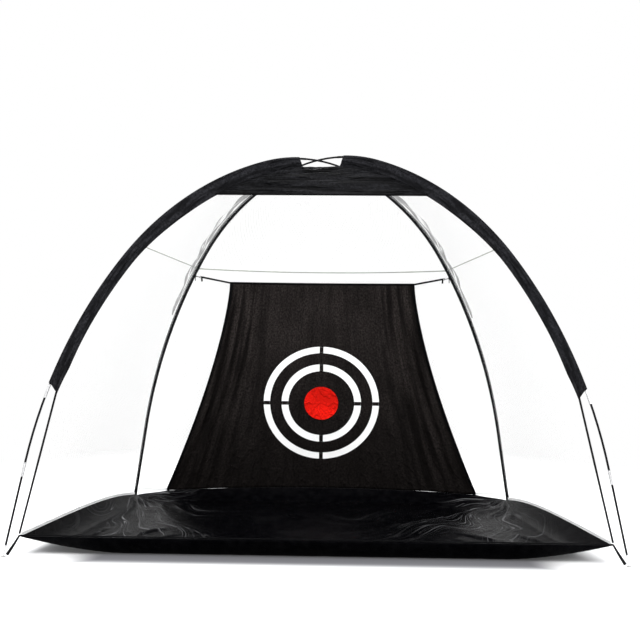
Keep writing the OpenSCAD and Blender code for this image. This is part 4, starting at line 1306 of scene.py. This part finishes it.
class CHIPNET_OT_target(bpy.types.Operator):
    """Hang the target cloth, its hems, rings and centre"""

    bl_idname = "chipnet.target"
    bl_label = "Target"

    def execute(self, context):
        depth = context.scene.chipnet_sizes.fold
        top = TARGET_LEN - 0.0025

        def relief(f, b):
            """How far the cloth stands forward of its plane. f is -1 to 1 across."""
            t = max(0.0, b / TARGET_LEN)
            edge = abs(f)
            wave = edge * 11 + 0.25 * ripple(f * 2, t * 3)
            side_folds = math.sin(2 * math.pi * wave + math.copysign(1, f))
            side_folds *= smooth(edge, 0.62, 0.78) * math.sin(math.pi * min(1, t * 1.02)) ** 0.7
            soft = 0.35 * ripple(f * 5, t * 3, 6.0) * smooth(edge, 0.3, 0.7)
            across = 0.3 * ripple(f * 2, t * 16, 8.0) * smooth(t, 0.8, 0.95)
            return depth * (side_folds + soft + across) * (1 - smooth(edge, 0.985, 1.0)) * 0.9

        def up_cloth(f, v):
            low = arch(f * TARGET_BOTTOM_HALF) - 0.001
            return low + (top - low) * v

        def place(u, v):
            f = 2 * u - 1
            b = up_cloth(f, v)
            return on_target(f * target_half(b), b, relief(f, b))

        size = (1.32, top)
        cloth = sheet_piece("target_cloth_sheet", 180, 90, place, size, look("target"), SHEET_T)
        settle(cloth, "target", "target_cloth", "target_cloth", sewn=True)
        parts = []

        for side in (-1, 1):

            def hem(u, v, side=side):
                b = up_cloth(side, v)
                x = side * (target_half(b) - SIDE_HEM_W * (1 - u))
                f = x / target_half(b)
                return on_target(x, b, relief(f, b) + SHEET_T)

            name, size = f"target_{SIDE_NAMES[side]}_side_hem", (SIDE_HEM_W, top)
            parts.append(sheet_piece(name, 4, 90, hem, size, look("hem"), THIN_T))
            settle(parts[-1], "target", "target_cloth", sewn=True)

        def hem_tube(t, a):
            turn = 2 * math.pi * a
            x = mix(-TARGET_TOP_HALF, TARGET_TOP_HALF, t)
            b = TARGET_LEN - 0.002 * math.sin(math.pi * t) + TOP_HEM_R * math.cos(turn)
            return on_target(x, b, TOP_HEM_R * math.sin(turn) + 0.0003 * ripple(t * 40, a))

        name, size = "target_top_hem_cloth", (0.76, 0.026)
        parts.append(tube_piece(name, 120, 16, hem_tube, size, look("hem")))
        settle(parts[-1], "target", "sleeve_cloth", "target_top_hem")

        def round_bull(r, turn, forward):
            return on_target(r * math.cos(turn), BULL_H + r * math.sin(turn), forward)

        for word, (inner, outer) in RINGS.items():
            arcs = []
            for i in range(4):

                def arc(u, v, start=math.pi / 2 * i, inner=inner, outer=outer):
                    """A quarter of a ring: its two ends are cut parallel to the cross gaps."""
                    r = mix(inner, outer, v)
                    cut = math.asin(RING_GAP / 2 / r)
                    return round_bull(r, start + mix(cut, math.pi / 2 - cut, u), PATCH_LIFT)

                name, size = f"{word}_ring_arc_{i + 1}", (math.pi / 2 * outer, outer - inner)
                arcs.append(sheet_piece(name, 32, 4, arc, size, look("ring"), RING_T, False))
                settle(arcs[-1], "target", "white_tape")
            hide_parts(f"{word}_ring")
            parts += arcs

            def edge_seam(t, inner=inner, outer=outer):
                r = inner + 0.0022 if t < 0.5 else outer - 0.0022
                turn = 4 * math.pi * t
                along = on_target(-math.sin(turn), math.cos(turn)) - on_target(0, 0)
                return round_bull(r, turn, PATCH_LIFT + 0.0004), along, Vector((0, -1, 0))

            name, thread = f"{word}_ring_stitches", look("white thread")
            count = int(2 * math.pi * (inner + outer) / 0.006)
            parts.append(stitch_row(name, edge_seam, count, *PATCH_STITCH, thread))
            settle(parts[-1], "target", "white_tape")

        bm = bmesh.new()
        bmesh.ops.create_circle(bm, cap_ends=True, segments=96, radius=BULL_R)
        bmesh.ops.inset_region(bm, faces=bm.faces, thickness=0.003, depth=0.0004)
        cloth_map = bm.loops.layers.uv.new("Cloth")
        for face in bm.faces:
            for loop in face.loops:
                loop[cloth_map].uv = loop.vert.co.xy
        for vert in bm.verts:
            vert.co = on_target(vert.co.x, BULL_H + vert.co.y, PATCH_LIFT + vert.co.z)
        bmesh.ops.recalc_face_normals(bm, faces=bm.faces)
        centre = new_piece("bull_patch_cloth", bm, look("bull"), smooth_faces=False)
        thicken(centre, THIN_T, -1)
        settle(centre, "target", "red_patch", "bull_patch")
        parts.append(centre)

        return {"FINISHED"}


class CHIPNET_OT_hangers(bpy.types.Operator):
    """Run the cord that carries the target, and the loops on the poles"""

    bl_idname = "chipnet.hangers"
    bl_label = "Hang cord and loops"

    def execute(self, context):
        cords = []
        forward = Vector((0, 1, 0))
        for side in (-1, 1):
            word = SIDE_NAMES[side]
            corner = on_target(side * TARGET_TOP_HALF, TARGET_LEN)
            eye = Vector(HOOK_EYES[side])
            low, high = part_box("hang_cord")
            loop_x = (low[0] if side < 0 else high[0]) - side * 0.0047
            middle = Vector((loop_x, eye.y, eye.z))
            name = f"{word}_cord_loop"
            loop = ring_cord(name, middle, 0.0038, LOOP_D, forward, look("cord"))
            settle(loop, "target", "cord")
            start = middle - Vector((side * 0.0038, 0, 0))
            points = [start, mix(start, corner, 0.5), corner]

            def radius(t):
                return mix(0.0016, 0.0039, smooth(t, 0, 0.08))

            cords.append(rope(f"{word}_hang_cord", points, radius, look("cord"), 40, 10))
            settle(cords[-1], "target", "cord")
            knot = middle - Vector((side * 0.005, 0, 0))
            points = [knot + Vector((0, 0, 0.003)), knot, knot - Vector((side * 0.001, 0, 0.018))]
            tail = rope(f"{word}_cord_tail", points, 0.0034, look("cord"), 24, 10)
            settle(tail, "target", "cord")
            low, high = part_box(f"{word}_pole_loop")
            middle = (Vector(low) + Vector(high)) / 2
            name = f"{word}_pole_loop_cord"
            loop = ring_cord(name, middle, 0.005, LOOP_D, forward, look("cord"))
            settle(loop, "frame", "cord", f"{word}_pole_loop")
        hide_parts("hang_cord")
        return {"FINISHED"}


class CHIPNET_OT_stage(bpy.types.Operator):
    """Set the floor, the lamps and the camera"""

    bl_idname = "chipnet.stage"
    bl_label = "Stage"

    def execute(self, context):
        scene = context.scene
        bm = bmesh.new()
        bmesh.ops.create_grid(bm, x_segments=1, y_segments=1, size=30)
        bmesh.ops.translate(bm, verts=bm.verts, vec=(0, 0, -0.0006))
        floor = new_piece("floor", bm, self.floor_finish())
        self.light_world(scene)
        for name, place, aim, size, power in (
            ("key_lamp", (-1.8, -2.8, 3.2), (0, 0, 0.5), 2.2, 190),
            ("fill_lamp", (2.8, -2.4, 2.2), (0, 0, 0.5), 2.4, 110),
            ("top_lamp", (0.2, 0.6, 3.8), (0, 0.1, 0.3), 3.0, 80),
            ("back_lamp", (0.0, 3.4, 2.6), (0, 0.2, 0.5), 2.6, 100),
        ):
            lamp = bpy.data.lights.new(name, "AREA")
            lamp.shape, lamp.size, lamp.energy = "DISK", size, power
            holder = bpy.data.objects.new(name, lamp)
            scene.collection.objects.link(holder)
            holder.location = place
            way = Vector(aim) - Vector(place)
            holder.rotation_euler = way.to_track_quat("-Z", "Y").to_euler()
        self.place_camera(scene)
        scene.view_settings.view_transform = "Standard"
        return {"FINISHED"}

    @staticmethod
    def place_camera(scene):
        """A nearly level camera three metres in front of the net."""
        camera = bpy.data.cameras.new("camera")
        camera.lens, camera.sensor_width = LENS, 36
        holder = bpy.data.objects.new("camera", camera)
        scene.collection.objects.link(holder)
        yaw, pitch, roll = (math.radians(angle) for angle in CAMERA_TURNS)
        right = Vector((math.cos(yaw), math.sin(yaw), 0))
        level = Vector((-math.sin(yaw), math.cos(yaw), 0))
        ahead = level * math.cos(pitch) + Vector((0, 0, math.sin(pitch)))
        up = -level * math.sin(pitch) + Vector((0, 0, math.cos(pitch)))
        side = right * math.cos(roll) + up * math.sin(roll)
        over = -right * math.sin(roll) + up * math.cos(roll)
        matrix = Matrix((side, over, -ahead)).transposed().to_4x4()
        matrix.translation = CAMERA_PLACE
        holder.matrix_world = matrix
        scene.camera = holder

    @staticmethod
    def floor_finish():
        """White floor: pure white to the camera where it is lit, with painted shade near the net
        and a painted shadow in front of and under the tray.
        """
        finish = Finish("Floor", (0.8, 0.8, 0.8), 1.0, Specular_IOR_Level=0.0)
        # Painted shade: the floor's colour darkens with ambient occlusion near the net, fading at
        # the sides.
        near_object = finish.add("ShaderNodeAmbientOcclusion", {"Distance": 0.4}, samples=12)
        place = finish.solid_place()
        across, forward = finish.split(place)[:2]
        beyond = finish.remap(finish.size_of(across), 0.55, 0.9)
        # Painted shadow: a band from just in front of the tray's lip to under its front is
        # darkened.
        before = finish.most(finish.remap(forward, -0.6, -0.5, 1.0, 0.35), beyond)
        before = finish.most(finish.remap(forward, -0.3, 0.1), before)
        painted_light_share = finish.most(near_object.outputs["AO"], beyond)
        painted_light_share = finish.least(painted_light_share, before)
        finish.tint(finish.remap(painted_light_share, 0.3, 1.0), (0.1, 0.1, 0.11), (0.82, 0.82, 0.82))
        glow = finish.add("ShaderNodeEmission", {"Color": (1, 1, 1, 1), "Strength": 0.06})
        near = finish.add("ShaderNodeAddShader", {0: finish.shader.outputs[0], 1: glow.outputs[0]})
        white = finish.add("ShaderNodeEmission", {"Color": (1, 1, 1, 1), "Strength": 1.0})
        away = finish.add("ShaderNodeVectorMath", {0: place}, operation="LENGTH")
        fade = finish.remap(away.outputs["Value"], 1.25, 2.2)
        to_camera = finish.mix_shaders(fade, near.outputs[0], white.outputs[0])
        lit = finish.shader.outputs[0]
        choice = finish.mix_shaders(finish.backdrop_ray(), lit, to_camera)
        finish.links.new(choice, finish.nodes["Material Output"].inputs["Surface"])
        return finish.material

    @staticmethod
    def light_world(scene):
        """A white background to the camera and in metal, and a plain grey light from all round."""
        world = bpy.data.worlds.new("world")
        scene.world = world
        world.use_nodes = True
        tree = Nodes(world.node_tree)
        soft = tree.nodes["Background"]
        soft.inputs[0].default_value = (0.95, 0.97, 1.0, 1)
        soft.inputs[1].default_value = 0.72
        white = tree.add("ShaderNodeBackground", {0: (1, 1, 1, 1), 1: 1.0})
        choice = tree.mix_shaders(tree.backdrop_ray(), soft.outputs[0], white.outputs[0])
        tree.links.new(choice, tree.nodes["World Output"].inputs["Surface"])


STEPS = (
    CHIPNET_OT_poles,
    CHIPNET_OT_sleeves,
    CHIPNET_OT_visor,
    CHIPNET_OT_hems,
    CHIPNET_OT_nets,
    CHIPNET_OT_tray,
    CHIPNET_OT_cords,
    CHIPNET_OT_feet,
    CHIPNET_OT_target,
    CHIPNET_OT_hangers,
    CHIPNET_OT_stage,
)


class CHIPNET_PT_panel(bpy.types.Panel):
    """Lists the steps that build the net."""

    bl_idname = "CHIPNET_PT_panel"
    bl_label = "Chipping net"
    bl_space_type = "VIEW_3D"
    bl_region_type = "UI"
    bl_category = "Chipping net"

    def draw(self, context):
        column = self.layout.column()
        for group in (context.scene.chipnet_colors, context.scene.chipnet_sizes):
            for name in group.__annotations__:
                column.prop(group, name)
        for step in STEPS:
            column.operator(step.bl_idname)


CLASSES = (ChippingNetColors, ChippingNetSizes, *STEPS, CHIPNET_PT_panel)


def register():
    for item in CLASSES:
        bpy.utils.register_class(item)
    bpy.types.Scene.chipnet_colors = bpy.props.PointerProperty(type=ChippingNetColors)
    bpy.types.Scene.chipnet_sizes = bpy.props.PointerProperty(type=ChippingNetSizes)


def unregister():
    del bpy.types.Scene.chipnet_sizes
    del bpy.types.Scene.chipnet_colors
    for item in reversed(CLASSES):
        bpy.utils.unregister_class(item)


def main():
    register()
    for step in STEPS:
        group, name = step.bl_idname.split(".")
        if getattr(getattr(bpy.ops, group), name)() != {"FINISHED"}:
            raise RuntimeError(f"{step.bl_label} did not finish")


if __name__ == "__main__":
    main()
